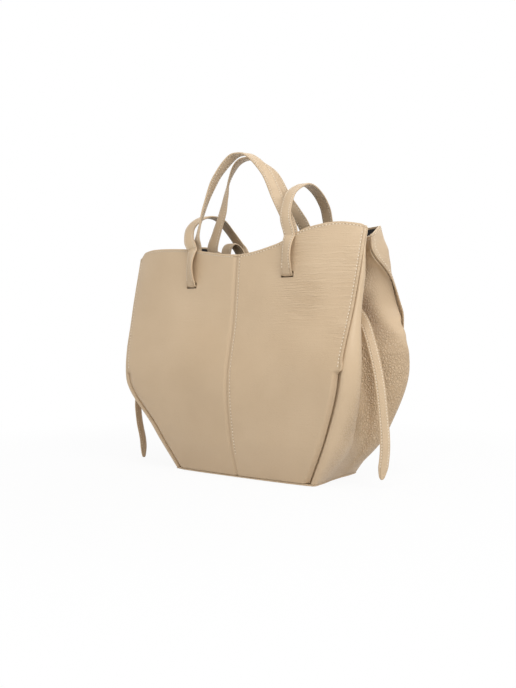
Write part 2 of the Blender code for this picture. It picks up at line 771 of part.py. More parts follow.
def build():
    reset()
    for face in (FRONT, BACK):
        lining = face_lining(face, DARK_CLOTH)
        for side in (RIGHT, LEFT):
            panel = half_panel(face, side, HIDE)
            cutter = slot_cutter(face, side)
            cut(panel, cutter)
            cut(lining, cutter)
            threaded_strap(face, side, STRAP_HIDE)
        handle(face, STRAP_HIDE)
    for side in (RIGHT, LEFT):
        gusset(side, HIDE)
        gusset_lining(side, DARK_CLOTH)
        side_loop(side, STRAP_HIDE)
        lace(side, STRAP_HIDE)

    inner = 2 * (LEATHER + LINING) + 4 * GAP + LAP_GAP
    board_bottom = LEATHER + GAP
    plate("base_panel", base_outline(GAP), 0.0, LEATHER, HIDE)
    plate("base_board", base_outline(inner), board_bottom, BOARD, FIBREBOARD)
    plate("base_lining", base_outline(inner), board_bottom + BOARD + GAP, LINING, DARK_CLOTH)


build()
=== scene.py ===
import math

import bmesh
import bpy
import numpy as np
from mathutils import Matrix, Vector


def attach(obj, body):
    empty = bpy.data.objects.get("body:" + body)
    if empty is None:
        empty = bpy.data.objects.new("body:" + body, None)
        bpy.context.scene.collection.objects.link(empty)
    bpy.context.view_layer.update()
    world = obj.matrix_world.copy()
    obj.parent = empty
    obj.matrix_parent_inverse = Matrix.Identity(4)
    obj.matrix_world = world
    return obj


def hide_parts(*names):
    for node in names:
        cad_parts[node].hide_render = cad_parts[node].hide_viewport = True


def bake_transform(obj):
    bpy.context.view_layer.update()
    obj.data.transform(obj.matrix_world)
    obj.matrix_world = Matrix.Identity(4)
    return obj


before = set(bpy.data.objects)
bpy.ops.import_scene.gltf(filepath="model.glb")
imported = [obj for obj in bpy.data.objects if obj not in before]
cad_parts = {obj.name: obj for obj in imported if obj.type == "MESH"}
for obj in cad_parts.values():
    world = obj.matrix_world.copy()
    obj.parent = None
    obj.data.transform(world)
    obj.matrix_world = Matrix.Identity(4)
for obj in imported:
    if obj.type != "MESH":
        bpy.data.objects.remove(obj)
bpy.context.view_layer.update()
print("frame loaded:", len(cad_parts), "nodes")

front, back = -1, 1
right, left = 1, -1
sideName = {right: "right", left: "left"}
faceName = {front: "front", back: "back"}

# the bag's own sizes in metres; levels are shares of the rim's height
bag = {
    "baseWidth": 0.190,
    "baseDepth": 0.104,
    "bellyWidth": 0.304,
    "bellyDepth": 0.140,
    "mouthDepth": 0.110,
    "floor": 0.0021,
    "leather": 0.0018,
    "lining": 0.0006,
    "gap": 0.0003,
    "lap": 0.008,
    "levels": (0.0, 0.18, 0.42, 0.72, 1.0),
    "footFlare": 0.026,
    "bellyEase": 0.006,
    "footEase": 0.003,
    "notch": 0.45,
    "notchRamp": 0.012,
    "bowPower": 2.4,
    # the leather's soft waves: their heights, their turns in radians across and up, and where they fade in
    "wave": 0.0007,
    "ripple": 0.0004,
    "waveTurns": ((31, 4), (9, 7)),
    "rippleTurns": (57, -11),
    "waveFrom": 0.12,
    "waveInside": 0.25,
    "strapX": 0.068,
    "strapDent": {"depth": 0.0012, "wide": 0.024, "at": 0.80, "tall": 0.12},
}
ends = {
    right: {
        "rimShares": (0.0, 0.06, 0.33, 0.60, 0.81, 0.96, 1.0, 1.3),
        "rim": (0.2620, 0.2625, 0.2713, 0.2888, 0.2935, 0.2908, 0.2882, 0.2882),
        "mouth": 0.150,
        "cornerDepth": 0.022,
        "valley": 0.088,
        "lean": -0.010,
        "shoulder": -0.002,
        "ridgeOut": (0.010, 0.022, 0.022, 0.007, 0.003),
        "backFullness": (0.0, 0.0105, 0.0135, 0.0150, 0.0),
        "foldInsideBelly": 0.018,
        "foldInsideShoulder": 0.006,
    },
    left: {
        "rimShares": (0.0, 0.08, 0.30, 0.52, 0.82, 0.94, 1.0, 1.3),
        "rim": (0.2620, 0.2628, 0.2680, 0.2733, 0.2757, 0.2732, 0.2660, 0.2660),
        "mouth": 0.168,
        "cornerDepth": 0.040,
        "valley": 0.108,
        "lean": 0.012,
        "shoulder": 0.002,
        "ridgeOut": (0.010, 0.020, 0.012, 0.005, 0.003),
        "backFullness": (0.0, 0.0, 0.006, 0.004, 0.0),
        "foldInsideBelly": 0.030,
        "foldInsideShoulder": 0.012,
    },
}
gusset = {
    "curveSteps": 24,
    "rowPoints": 420,
    "trim": 0.985,
    "seamTurn": (0.008, 0.010, 0.008, 0.005, 0.004),
    "ridgeIn": (0.018, 0.026, 0.018, 0.014, 0.012),
    "halfGap": (0.018, 0.018, 0.018, 0.009, 0.0065),
    "pastFoot": 0.008,
    "pastFlare": 0.010,
    "wallLean": 0.45,
    "valleyWidth": 0.75,
    # below the notch the lap sinks behind the panel and the edge beside it stands up
    "lapSink": 0.0042,
    "lapEnd": -0.0012,
    "lipRise": {right: 0.0018, left: 0.0004},
    "lipStart": 0.0002,
    "lipRamp": 0.0022,
    "lipEnd": 0.003,
    "lipFade": 0.020,
    "lipAboveNotch": 0.85,
    # the middle of the rim hangs lower than its seams
    "rimDip": 0.015,
    "dipFrom": 0.55,
    "dipWide": 0.30,
    # where a shadow is painted deep in the fold: from the front seam (-1) to the back one (1), and share of
    # height
    "tightAt": (0.44, 0.69),
    "tightWide": (0.17, 0.11),
}
# towards the rim both edges of the right fold meet behind the front corner
closing = {
    front: {"from": 0.80, "over": 0.16, "turn": (0.0010, 0.0024), "ridge": (0.0010, 0.0065)},
    back: {"from": 0.50, "over": 0.20, "turn": (-0.0012, -0.0018), "ridge": (-0.0060, -0.0010)},
}
# at the right end the back wing curls forward round the mouth: its seam's depth by share of height
wrap = {
    "shares": (0.46, 0.54, 0.60, 0.66, 0.72, 0.80, 0.86, 0.90, 0.95, 1.0),
    "depth": (0.0685, 0.0625, 0.0570, 0.0525, 0.0480, 0.0370, 0.0180, 0.0020, -0.0085, -0.0100),
    "bulge": (0.0, 0.0055, 0.0125, 0.0135, 0.0098, 0.0055, 0.0030, 0.0012, 0.0, 0.0),
    "fullness": (0.0, 0.0, 0.0, 0.0, 0.0, 0.0025, 0.0072, 0.0072, 0.0030, 0.0002),
    "from": 0.72,
    "over": 0.14,
    "ease": 0.35,
    "pull": 2.2,
    "leave": 0.028,
    "arrive": (0.08, -1.0),
    "swellTo": (0.8, 0.6),
}
# how far the back rim's corner stands above (left) or hangs below (right) the front one
backCorner = {
    right: {"shift": -0.0085, "from": 0.90, "wide": 0.11},
    left: {"shift": 0.0108, "from": 0.53, "wide": 0.26},
    "topFifth": 0.20,
    "gussetFrom": 0.60,
    "gussetWide": 0.30,
}


def smoothCurve(x, xs, ys):
    # Hermite curve through (xs, ys) with harmonic-mean slopes, so it never overshoots
    xs, ys = np.asarray(xs, float), np.asarray(ys, float)
    x = np.clip(x, xs[0], xs[-1])
    slope = np.diff(ys) / np.diff(xs)
    before, after = slope[:-1], slope[1:]
    same = before * after > 0
    middle = np.where(same, 2 * before * after / np.where(same, before + after, 1.0), 0.0)
    tangent = np.concatenate([slope[:1], middle, slope[-1:]])
    i = np.clip(np.searchsorted(xs, x, side="right") - 1, 0, len(xs) - 2)
    step = xs[i + 1] - xs[i]
    t = (x - xs[i]) / step
    return (
        ys[i] * (1 + 2 * t) * (1 - t) ** 2
        + tangent[i] * step * t * (1 - t) ** 2
        + ys[i + 1] * t * t * (3 - 2 * t)
        + tangent[i + 1] * step * t * t * (t - 1)
    )


def softStep(t):
    # 3t^2 - 2t^3 between 0 and 1
    t = np.clip(t, 0.0, 1.0)
    return t * t * (3 - 2 * t)


def hump(t):
    # bell of height 1 and half width about 1
    return np.exp(-np.asarray(t) ** 2)


def unit(vectors):
    return vectors / np.maximum(np.linalg.norm(vectors, axis=-1, keepdims=True), 1e-12)


# the bag's shape: x across, v = share of the rim height

def seamX(side, v):
    e, foot, belly = ends[side], bag["baseWidth"] / 2, bag["bellyWidth"] / 2
    marks = (foot, foot + bag["footFlare"], belly + e["lean"], e["mouth"] + e["shoulder"], e["mouth"])
    return smoothCurve(v, bag["levels"], marks)


def seamDepth(side, v):
    corner, belly = ends[side]["cornerDepth"], bag["bellyDepth"] / 2
    marks = (bag["baseDepth"] / 2, belly - bag["bellyEase"], belly, (belly + corner) / 2, corner)
    return smoothCurve(v, bag["levels"], marks)


def middleDepth(v):
    foot, belly, ease = bag["baseDepth"] / 2 + bag["footEase"], bag["bellyDepth"] / 2, bag["bellyEase"]
    return smoothCurve(v, bag["levels"], (foot, belly, belly + ease, belly - ease, bag["mouthDepth"] / 2))


def rimHeight(x, v):
    # low at the centre seam, tallest at the wings, a little lower at the corners
    toRight = x >= 0
    share = np.abs(x) / np.where(toRight, seamX(right, v), seamX(left, v))
    heights = {side: smoothCurve(share, ends[side]["rimShares"], ends[side]["rim"]) for side in (right, left)}
    return np.where(toRight, heights[right], heights[left])


def wallHeight(x, v):
    return bag["floor"] + v * (rimHeight(x, v) - bag["floor"])


def panelPoint(face, x, v):
    # outer face of the front or back: depth = corner + (middle - corner) * (1 - |x/seam|^bowPower), plus
    # slow soft waves and a shallow dent under each strap
    x, v = np.broadcast_arrays(np.asarray(x, float), np.asarray(v, float))
    toRight = x >= 0
    reach = np.where(toRight, seamX(right, v), seamX(left, v))
    corner = np.where(toRight, seamDepth(right, v), seamDepth(left, v))
    bow = 1 - (np.abs(x) / reach) ** bag["bowPower"]
    (a, b), (c, d) = bag["waveTurns"]
    soft = bag["wave"] * np.sin(a * x + b * v + face) * np.sin(c * x + d * v)
    soft = soft + bag["ripple"] * np.sin(bag["rippleTurns"][0] * x + bag["rippleTurns"][1] * v)
    dent = bag["strapDent"]
    for side in (right, left):
        across = hump((x - side * bag["strapX"]) / dent["wide"])
        soft = soft - dent["depth"] * across * hump((v - dent["at"]) / dent["tall"])
    soft = soft * softStep(v / bag["waveFrom"]) * softStep(bow / bag["waveInside"])
    depth = corner + (middleDepth(v) - corner) * bow + soft
    point = np.stack([x, face * depth, wallHeight(x, v)], -1)
    if face == back:
        t = np.clip((x / reach - wrap["from"]) / (1 - wrap["from"]), 0.0, None)
        share = wrapped(v) * softStep(t / wrap["ease"])
        point[..., :2] += (wrapPoint(t, v) - point[..., :2]) * share[..., None]
        for side in (right, left):
            near = softStep((side * x / reach - backCorner[side]["from"]) / backCorner[side]["wide"])
            point[..., 2] += cornerShift(side, v) * near
    return point


def wrapped(v):
    # 0 where the back wing is plain, 1 where it curls forward
    return softStep((v - wrap["shares"][0]) / wrap["over"])


def cornerShift(side, v):
    # grows over the top fifth of the wall
    return backCorner[side]["shift"] * softStep((v - 1 + backCorner["topFifth"]) / backCorner["topFifth"])


def wrapPoint(t, v):
    # Hermite curve from the back wall (t = 0) round the end of the mouth to its seam (t = 1), then straight
    x, corner = seamX(right, v), seamDepth(right, v)
    fullness, power = middleDepth(v) - corner, bag["bowPower"]
    start = np.stack([x * wrap["from"], corner + fullness * (1 - wrap["from"] ** power)], -1)
    bulge = smoothCurve(v, wrap["shares"], wrap["bulge"])
    seam = np.stack([x + bulge, smoothCurve(v, wrap["shares"], wrap["depth"])], -1)
    pull = (wrap["pull"] * (start[..., 1] - seam[..., 1]))[..., None]
    slope = -power * fullness * wrap["from"] ** (power - 1) / x
    leave = unit(np.stack([np.ones_like(x), slope], -1)) * (wrap["leave"] + pull)
    arrive = np.array(wrap["arrive"]) * pull
    u = np.minimum(t, 1.0)[..., None]
    curve = (
        start * (1 + 2 * u) * (1 - u) ** 2
        + leave * u * (1 - u) ** 2
        + seam * u * u * (3 - 2 * u)
        + arrive * u * u * (u - 1)
    )
    swell = smoothCurve(v, wrap["shares"], wrap["fullness"])[..., None]
    curve = curve + np.array(wrap["swellTo"]) * swell * np.sin(math.pi * u) ** 2
    return curve + unit(arrive) * (np.maximum(t - 1, 0.0) * x * (1 - wrap["from"]))[..., None]


def panelNormal(face, x, v):
    small = 2e-4
    along = panelPoint(face, x + small, v) - panelPoint(face, x - small, v)
    up = panelPoint(face, x, v + small) - panelPoint(face, x, v - small)
    return unit(np.cross(up, along) * face)


def insetPanel(face, x, v, depth):
    return panelPoint(face, x, v) - panelNormal(face, x, v) * np.asarray(depth, float)[..., None]


def sectionControls(face, side, v):
    # control points of half the gusset's level section: lap, seam, turn, ridge, fold wall, valley
    e, foot, levels = ends[side], bag["baseWidth"] / 2, bag["levels"]
    x, belly, mouth = seamX(side, v), bag["bellyWidth"] / 2 + e["lean"], e["valley"]
    seam = panelPoint(face, side * x, v)[:2]
    inner = panelPoint(face, side * (x - bag["lap"]), v)[:2]
    along = unit(seam - panelPoint(face, side * (x - 0.001), v)[:2])
    turn = seam + along * smoothCurve(v, levels, gusset["seamTurn"])
    out, inward = smoothCurve(v, levels, e["ridgeOut"]), smoothCurve(v, levels, gusset["ridgeIn"])
    if face == back:
        out = out + smoothCurve(v, levels, e["backFullness"])
    ridge = seam + np.array([side * out, -face * inward])
    if side == right:
        near = closing[face]
        close = softStep((v - near["from"]) / near["over"])
        turn = turn + (seam + near["turn"] - turn) * close
        ridge = ridge + (seam + near["ridge"] - ridge) * close
    low, flare = foot + gusset["pastFoot"], foot + bag["footFlare"] + gusset["pastFlare"]
    shoulder = (belly + mouth) / 2 - e["foldInsideShoulder"]
    fold = side * smoothCurve(v, levels, (low, flare, belly - e["foldInsideBelly"], shoulder, mouth))
    halfGap = face * smoothCurve(v, levels, gusset["halfGap"])
    wall = np.array([fold + gusset["wallLean"] * (ridge[0] - fold), halfGap])
    valley = np.array([fold, gusset["valleyWidth"] * halfGap])
    return np.array([inner, seam, turn, ridge, wall, valley])


def roundedLine(controls, steps):
    # quadratic pieces that touch the middle of each side of the control polygon
    t = np.linspace(0.0, 1.0, steps, endpoint=False)[:, None]
    points = [controls[:1]]
    for a, b, c in zip(controls[:-2], controls[1:-1], controls[2:]):
        points.append((a + b) / 2 * (1 - t) ** 2 + 2 * b * t * (1 - t) + (b + c) / 2 * t * t)
    points += [(controls[-2:-1] + controls[-1:]) / 2, controls[-1:]]
    return np.concatenate(points)


def lengthOf(points):
    # running length along a line of points
    return np.concatenate([[0.0], np.cumsum(np.linalg.norm(np.diff(points[:, :3], axis=0), axis=1))])


def evenly(points, count):
    lengths = lengthOf(points)
    wanted = np.linspace(0.0, lengths[-1], count)
    return np.stack([np.interp(wanted, lengths, points[:, k]) for k in range(points.shape[1])], 1)


def nearestTo(points, line):
    # distance from each point to the line's points, and which one is nearest
    apart = np.linalg.norm(points[:, None] - line[None], axis=2)
    return apart.min(1), apart.argmin(1)


def offsetLine(line, depth, side):
    # moved sideways into the bag, without the points that a tight bend would bring too near the line
    tangent = unit(np.gradient(line, axis=0))
    moved = line + side * depth * np.stack([-tangent[:, 1], tangent[:, 0]], 1)
    return moved[nearestTo(moved, line)[0] > gusset["trim"] * depth]


def belowNotch(v):
    # 1 below the notch in the side seams, 0 above it
    return softStep((bag["notch"] - v) / bag["notchRamp"])


def gussetRow(side, v, depth, count):
    # one level of the gusset, pushed out at its lips and in at its laps
    controls = np.concatenate([sectionControls(front, side, v), sectionControls(back, side, v)[::-1]])
    line = evenly(roundedLine(controls, gusset["curveSteps"]), gusset["rowPoints"])
    run = lengthOf(line)
    beyond = np.minimum(run, run[-1] - run) - bag["lap"]
    started = softStep((beyond - gusset["lipStart"]) / gusset["lipRamp"])
    lip = gusset["lipRise"][side] * started * (1 - softStep((beyond - gusset["lipEnd"]) / gusset["lipFade"]))
    if side == right:
        lip = lip * np.where(run > run[-1] / 2, 1 - wrapped(v), 1.0)
    sunk = gusset["lapSink"] * (1 - softStep((beyond - gusset["lapEnd"]) / gusset["lipRamp"]))
    tangent = unit(np.gradient(line, axis=0))
    outward = side * np.stack([tangent[:, 1], -tangent[:, 0]], 1)
    moved = offsetLine(line, depth, side)
    nearest = nearestTo(moved, line)[1]
    low, above = belowNotch(v), gusset["lipAboveNotch"]
    push = lip * (above + (1 - above) * low) - sunk * low
    flat = evenly(moved + outward[nearest] * push[nearest, None], count)
    share = lengthOf(flat) / lengthOf(flat)[-1]
    dip = gusset["rimDip"] * softStep((v - gusset["dipFrom"]) / (1 - gusset["dipFrom"]))
    dip = dip * softStep((0.5 - np.abs(share - 0.5)) / gusset["dipWide"])
    dip = dip - cornerShift(side, v) * softStep((share - backCorner["gussetFrom"]) / backCorner["gussetWide"])
    return np.column_stack([flat, wallHeight(flat[:, 0], v) - dip])


# meshes

def addMesh(name, points, quads, maps=None):
    mesh = bpy.data.meshes.new(name)
    mesh.from_pydata(points.tolist(), [], quads.tolist())
    for title, values in (maps or {}).items():
        layer = mesh.uv_layers.new(name=title)
        layer.data.foreach_set("uv", values[quads.ravel()].astype(np.float32).ravel())
    mesh.update()
    piece = bpy.data.objects.new(name, mesh)
    bpy.context.scene.collection.objects.link(piece)
    return piece


def gridQuads(rows, columns, start=0):
    index = start + np.arange(rows * columns).reshape(rows, columns)
    return np.stack([index[:-1, :-1], index[:-1, 1:], index[1:, 1:], index[1:, :-1]], -1).reshape(-1, 4)


def addGrid(name, grid, flip=False, maps=None):
    # an open sheet from a grid of points, with UV maps of one pair of values to each point
    quads = gridQuads(*grid.shape[:2])
    flat = {title: values.reshape(-1, 2) for title, values in (maps or {}).items()}
    return addMesh(name, grid.reshape(-1, 3), quads[:, ::-1] if flip else quads, flat)


def shadeSmooth(piece, sharpFrom=50):
    # smooth, with a hard edge where two faces turn by more than the angle in degrees
    piece.data.shade_smooth()
    piece.data.set_sharp_from_angle(angle=math.radians(sharpFrom))


def addShell(name, outer, inner, flip=False, maps=None):
    # a closed wall: outer and inner grid with the same rows and columns, and strips along their four edges
    rows, columns = outer.shape[:2]
    count = rows * columns
    index = np.arange(count).reshape(rows, columns)
    ring = np.concatenate([index[0], index[1:, -1], index[-1, -2::-1], index[-2:0:-1, 0], index[0, :1]])
    strips = np.stack([ring[:-1] + count, ring[1:] + count, ring[1:], ring[:-1]], -1)
    quads = np.concatenate([gridQuads(rows, columns), gridQuads(rows, columns, count)[:, ::-1], strips])
    points = np.concatenate([outer.reshape(-1, 3), inner.reshape(-1, 3)])
    doubled = {title: np.concatenate([v.reshape(-1, 2)] * 2) for title, v in (maps or {}).items()}
    piece = addMesh(name, points, quads[:, ::-1] if flip else quads, doubled)
    shadeSmooth(piece)
    return piece


def applyModifiers(piece):
    ready = bpy.data.meshes.new_from_object(piece.evaluated_get(bpy.context.evaluated_depsgraph_get()))
    piece.modifiers.clear()
    old = piece.data
    piece.data = ready
    bpy.data.meshes.remove(old)


def giveThickness(piece, thickness, roundEdge=0.0005):
    # the sheet is the outer face, and the thickness goes inward from it
    wall = piece.modifiers.new("wall", "SOLIDIFY")
    wall.thickness = thickness
    wall.offset = -1.0
    wall.use_even_offset = True
    if roundEdge:
        edge = piece.modifiers.new("edge", "BEVEL")
        edge.width = roundEdge
        edge.segments = 2
        edge.limit_method = "ANGLE"
        edge.angle_limit = math.radians(60)
    applyModifiers(piece)
    shadeSmooth(piece)


def closeMesh(piece):
    # joins points within a thousandth of a millimetre, fills the open ends and turns all faces outward
    work = bmesh.new()
    work.from_mesh(piece.data)
    bmesh.ops.remove_doubles(work, verts=work.verts, dist=1e-6)
    bmesh.ops.holes_fill(work, edges=[e for e in work.edges if e.is_boundary], sides=0)
    bmesh.ops.recalc_face_normals(work, faces=work.faces)
    work.to_mesh(piece.data)
    work.free()


def lengthAlong(grid, axis):
    # running length of each row (axis 1) or column (axis 0)
    steps = np.linalg.norm(np.diff(grid, axis=axis), axis=2)
    zero = np.zeros_like(steps[:, :1] if axis == 1 else steps[:1])
    return np.concatenate([zero, np.cumsum(steps, axis=axis)], axis=axis)


def dress(piece, finish, nodes=(), body="bag"):
    # finish, the nodes that the piece stands for, and the body that carries it
    piece.data.materials.append(finish)
    if nodes:
        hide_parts(*nodes)
    if body:
        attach(piece, body)


# shader maths

class Wire:
    def __init__(self, finish, socket):
        self.finish, self.socket = finish, socket

    def maths(self, operation, *values):
        return self.finish.add("ShaderNodeMath", {"operation": operation}, dict(enumerate(values)))

    def __add__(self, other):
        return self.maths("ADD", self, other)

    def __sub__(self, other):
        return self.maths("SUBTRACT", self, other)

    def __rsub__(self, other):
        return self.maths("SUBTRACT", other, self)

    def __mul__(self, other):
        return self.maths("MULTIPLY", self, other)

    def __rmul__(self, other):
        return self.maths("MULTIPLY", other, self)

    def __truediv__(self, other):
        return self.maths("DIVIDE", self, other)

    def __abs__(self):
        return self.maths("ABSOLUTE", self)

    def larger(self, other):
        return self.maths("MAXIMUM", self, other)

    def clipped(self):
        return self.finish.add("ShaderNodeClamp", {}, {"Value": self})


class Finish:
    def __init__(self, owner):
        # the owner is a new material or world
        owner.use_nodes = True
        self.owner, self.tree = owner, owner.node_tree

    def add(self, kind, settings=None, values=None, output=0):
        node = self.tree.nodes.new(kind)
        for key, value in (settings or {}).items():
            setattr(node, key, value)
        self.feed(node, values or {})
        return Wire(self, node.outputs[output])

    def feed(self, node, values):
        for key, value in values.items():
            socket = node.inputs[key]
            if isinstance(value, Wire):
                self.tree.links.new(value.socket, socket)
            elif socket.type == "RGBA":
                socket.default_value = (*value, 1.0)
            else:
                socket.default_value = value

    def place(self):
        return self.add("ShaderNodeTexCoord", {}, {}, "Object")

    def part(self, point, axis):
        return self.add("ShaderNodeSeparateXYZ", {}, {0: point}, axis)

    def uv(self, title, axis):
        return self.part(self.add("ShaderNodeUVMap", {"uv_map": title}), axis)

    def stretched(self, point, scale):
        return self.add("ShaderNodeMapping", {}, {"Vector": point, "Scale": scale})

    def noise(self, point, scale, detail=2.0, rough=0.5):
        values = {"Vector": point, "Scale": scale, "Detail": detail, "Roughness": rough}
        return self.add("ShaderNodeTexNoise", {}, values, "Fac")

    def fromCellEdge(self, point):
        values = {"Vector": point, "Scale": 1.0}
        return self.add("ShaderNodeTexVoronoi", {"feature": "DISTANCE_TO_EDGE"}, values, "Distance")

    def blendColours(self, share, first, second):
        return self.add("ShaderNodeMix", {"data_type": "RGBA"}, {0: share, 6: first, 7: second}, 2)

    def spread(self, value, low, high, to=(0.0, 1.0)):
        values = {"Value": value, "From Min": low, "From Max": high, "To Min": to[0], "To Max": to[1]}
        return self.add("ShaderNodeMapRange", {}, values)

    def bump(self, height, strength, distance):
        return self.add("ShaderNodeBump", {}, {"Height": height, "Strength": strength, "Distance": distance})

    def finishWith(self, **values):
        names = {
            "colour": "Base Color",
            "rough": "Roughness",
            "normal": "Normal",
            "specular": "Specular IOR Level",
            "sheen": "Sheen Weight",
        }
        shader = self.tree.nodes["Principled BSDF"]
        self.feed(shader, {names[key]: value for key, value in values.items()})
        return self.owner


def newFinish(name):
    return Finish(bpy.data.materials.new(name))


hide = {
    "light": (0.615, 0.463, 0.302),
    "mid": (0.560, 0.412, 0.260),
    "deep": (0.400, 0.268, 0.150),
    "groove": (0.300, 0.195, 0.105),
    # the colour of a painted shadow deep in the gusset's fold, then the shares of painted shade in the fold
    # and of that painted shadow
    "tight": (0.190, 0.105, 0.050),
    "paintedFoldShade": 0.16,
    "tightShade": 0.72,
    "valleyShade": 0.45,
    "creaseShade": 0.34,
    "grooveShade": 0.50,
    "drift": (0.004, 0.004, 0.004),
    "valley": (0.15, 0.02),
    "pebble": (0.0, 0.30),
    "fine": 0.08,
    # the grain's strength from patch to patch, and from the wall to the fold
    "uneven": (0.6, 1.3),
    "inFold": (0.10, 1.3),
    # level creases: their stretch, and where they fade out across and in height
    "creaseStretch": (30.0, 30.0, 640.0),
    "creaseAcross": (0.045, 0.105),
    "creaseHigh": (0.11, 0.18),
    "grooveDeep": 0.8,
    "rough": (0.44, 0.36),
    "valleyRough": 0.12,
    "bump": 0.6,
}


def hideFinish(name, grain, scale, relief, creases=False, seams=(), foldMap=None):
    # beige calf: pebbles between thin valleys, slow patches of colour, level creases, pressed seam grooves
    f = newFinish(name)
    point = f.place()
    drift = f.noise(point, 55.0)
    moved = {0: drift, 1: hide["drift"], 2: point}
    warped = f.add("ShaderNodeVectorMath", {"operation": "MULTIPLY_ADD"}, moved)
    pebble = f.fromCellEdge(f.stretched(warped, scale))
    fine = f.noise(point, 2600.0, 3.0, 0.6)
    patches = f.noise(point, 9.0, 3.0, 0.55)
    weak, strong = (share * grain for share in hide["uneven"])
    strength = f.spread(f.noise(point, 26.0), 0.35, 0.68, (weak, strong))
    if foldMap:
        strength = strength * f.spread(f.uv(foldMap, 0), 0.0, 1.0, hide["inFold"])
    valley = f.spread(pebble, *hide["valley"])
    height = f.spread(pebble, *hide["pebble"]) * strength + hide["fine"] * fine
    base = f.blendColours(f.spread(patches, 0.32, 0.70), hide["mid"], hide["light"])
    base = f.blendColours((valley * strength * hide["valleyShade"]).clipped(), base, hide["deep"])
    if foldMap:
        # painted shade deep in the fold, and a darker painted shadow where the fold is deepest
        base = f.blendColours(f.uv(foldMap, 0) * hide["paintedFoldShade"], base, hide["deep"])
        base = f.blendColours(f.uv(foldMap, 1) * hide["tightShade"], base, hide["tight"])
    if creases:
        # fine level lines where the hide is stretched round the right shoulder
        lines = f.spread(f.noise(f.stretched(warped, hide["creaseStretch"]), 1.0, 3.0, 0.6), 0.42, 0.62)
        where = f.spread(f.noise(point, 11.0, 1.0), 0.36, 0.60)
        where = where * f.spread(f.part(point, 0), *hide["creaseAcross"], (0.08, 1.0))
        where = where * f.spread(f.part(point, 2), *hide["creaseHigh"], (0.12, 1.0))
        height = height + lines * where
        base = f.blendColours(((1 - lines) * where * hide["creaseShade"]).clipped(), base, hide["deep"])
    grooves = None
    for title, axis, at, width in seams:
        line = (1 - abs(f.uv(title, axis) - at) / width).clipped()
        grooves = grooves.larger(line) if grooves else line
    if grooves:
        height = height - grooves * hide["grooveDeep"]
        base = f.blendColours(grooves * hide["grooveShade"], base, hide["groove"])
    rough = f.spread(patches, 0.3, 0.7, hide["rough"]) + valley * hide["valleyRough"]
    return f.finishWith(colour=base, rough=rough, normal=f.bump(height, hide["bump"], relief), specular=0.5)


def clothFinish(name):
    # near-black twill: fine level lines and slow patches
    f = newFinish(name)
    point = f.place()
    weave = f.noise(f.stretched(point, (900.0, 900.0, 2400.0)), 1.0)
    slow = f.spread(f.noise(point, 24.0), 0.4, 0.7)
    colour = f.blendColours(f.spread(weave, 0.35, 0.65), (0.007, 0.007, 0.008), (0.020, 0.019, 0.021))
    colour = f.blendColours(slow * 0.4, colour, (0.030, 0.028, 0.030))
    rough = f.spread(weave, 0.3, 0.7, (0.95, 0.75))
    return f.finishWith(colour=colour, rough=rough, normal=f.bump(weave, 0.4, 0.0003), sheen=0.15)


def threadFinish(name):
    # waxed thread: twisted fibres and a soft shine
    f = newFinish(name)
    fibres = f.noise(f.place(), 5200.0)
    colour = f.blendColours(f.spread(fibres, 0.3, 0.7), (0.70, 0.58, 0.43), (0.87, 0.78, 0.64))
    rough = f.spread(fibres, 0.3, 0.7, (0.62, 0.45))
    return f.finishWith(colour=colour, rough=rough, normal=f.bump(fibres, 0.5, 0.00012))


def boardFinish(name):
    # grey pressed board: matt, with short fibres
    f = newFinish(name)
    fibres = f.noise(f.place(), 900.0, 3.0)
    colour = f.blendColours(fibres, (0.07, 0.065, 0.06), (0.13, 0.12, 0.11))
    return f.finishWith(colour=colour, rough=f.spread(fibres, 0.3, 0.7, (0.9, 0.75)))


# stitches

# one stitch is a spindle of rings: place along it as a share of its length, then share of its radius
spindle = {
    "rings": ((-0.5, 0.25), (-0.38, 0.85), (0.0, 1.0), (0.38, 0.85), (0.5, 0.25)),
    "sides": 6,
    "sink": 0.25,
    "droop": 0.70,
}
seamThread = threadFinish("seamThread")


def stitchRow(path, normal, stitch):
    # evenly spaced stitches along a path, each a short spindle of thread partly sunk in the leather
    run = lengthOf(path)
    count = max(int(run[-1] / stitch["pitch"]), 2)
    at = (np.arange(count) + 0.5) * run[-1] / count
    place = np.stack([np.interp(at, run, path[:, k]) for k in range(3)], 1)
    tangent = unit(np.stack([np.interp(at, run, np.gradient(path[:, k], run)) for k in range(3)], 1))
    up = unit(np.stack([np.interp(at, run, normal[:, k]) for k in range(3)], 1))
    across = unit(np.cross(tangent, up))
    rings, sides, radius = np.array(spindle["rings"]), spindle["sides"], stitch["thick"] / 2
    turns = np.linspace(0.0, 2 * math.pi, sides, endpoint=False)
    along = np.repeat(rings[:, 0] * stitch["length"], sides)
    wide = np.outer(rings[:, 1], np.cos(turns)).ravel() * radius
    high = (np.outer(rings[:, 1], np.sin(turns)).ravel() - spindle["sink"]) * radius
    high = high - np.repeat((1 - rings[:, 1]) * spindle["droop"] * radius, sides)
    points = place[:, None]
    for length, direction in ((along, tangent), (wide, across), (high, up)):
        points = points + length[:, None] * direction[:, None]
    ring = np.arange(sides)
    beside = (ring + 1) % sides
    band = np.stack([ring, beside, beside + sides, ring + sides], 1)
    quads = np.concatenate([band + j * sides for j in range(len(rings) - 1)])
    starts = (np.arange(count) * sides * len(rings))[:, None, None]
    return points.reshape(-1, 3), (quads + starts).reshape(-1, 4)


def addStitches(name, rows, body="bag"):
    # all rows of one seam or strap as one piece
    starts = np.cumsum([0] + [len(points) for points, _ in rows])
    points = np.concatenate([points for points, _ in rows])
    quads = np.concatenate([quads + start for (_, quads), start in zip(rows, starts)])
    piece = addMesh(name, points, quads)
    piece.data.shade_smooth()
    dress(piece, seamThread, body=body)
    return piece


print("finishes ready")


# walls

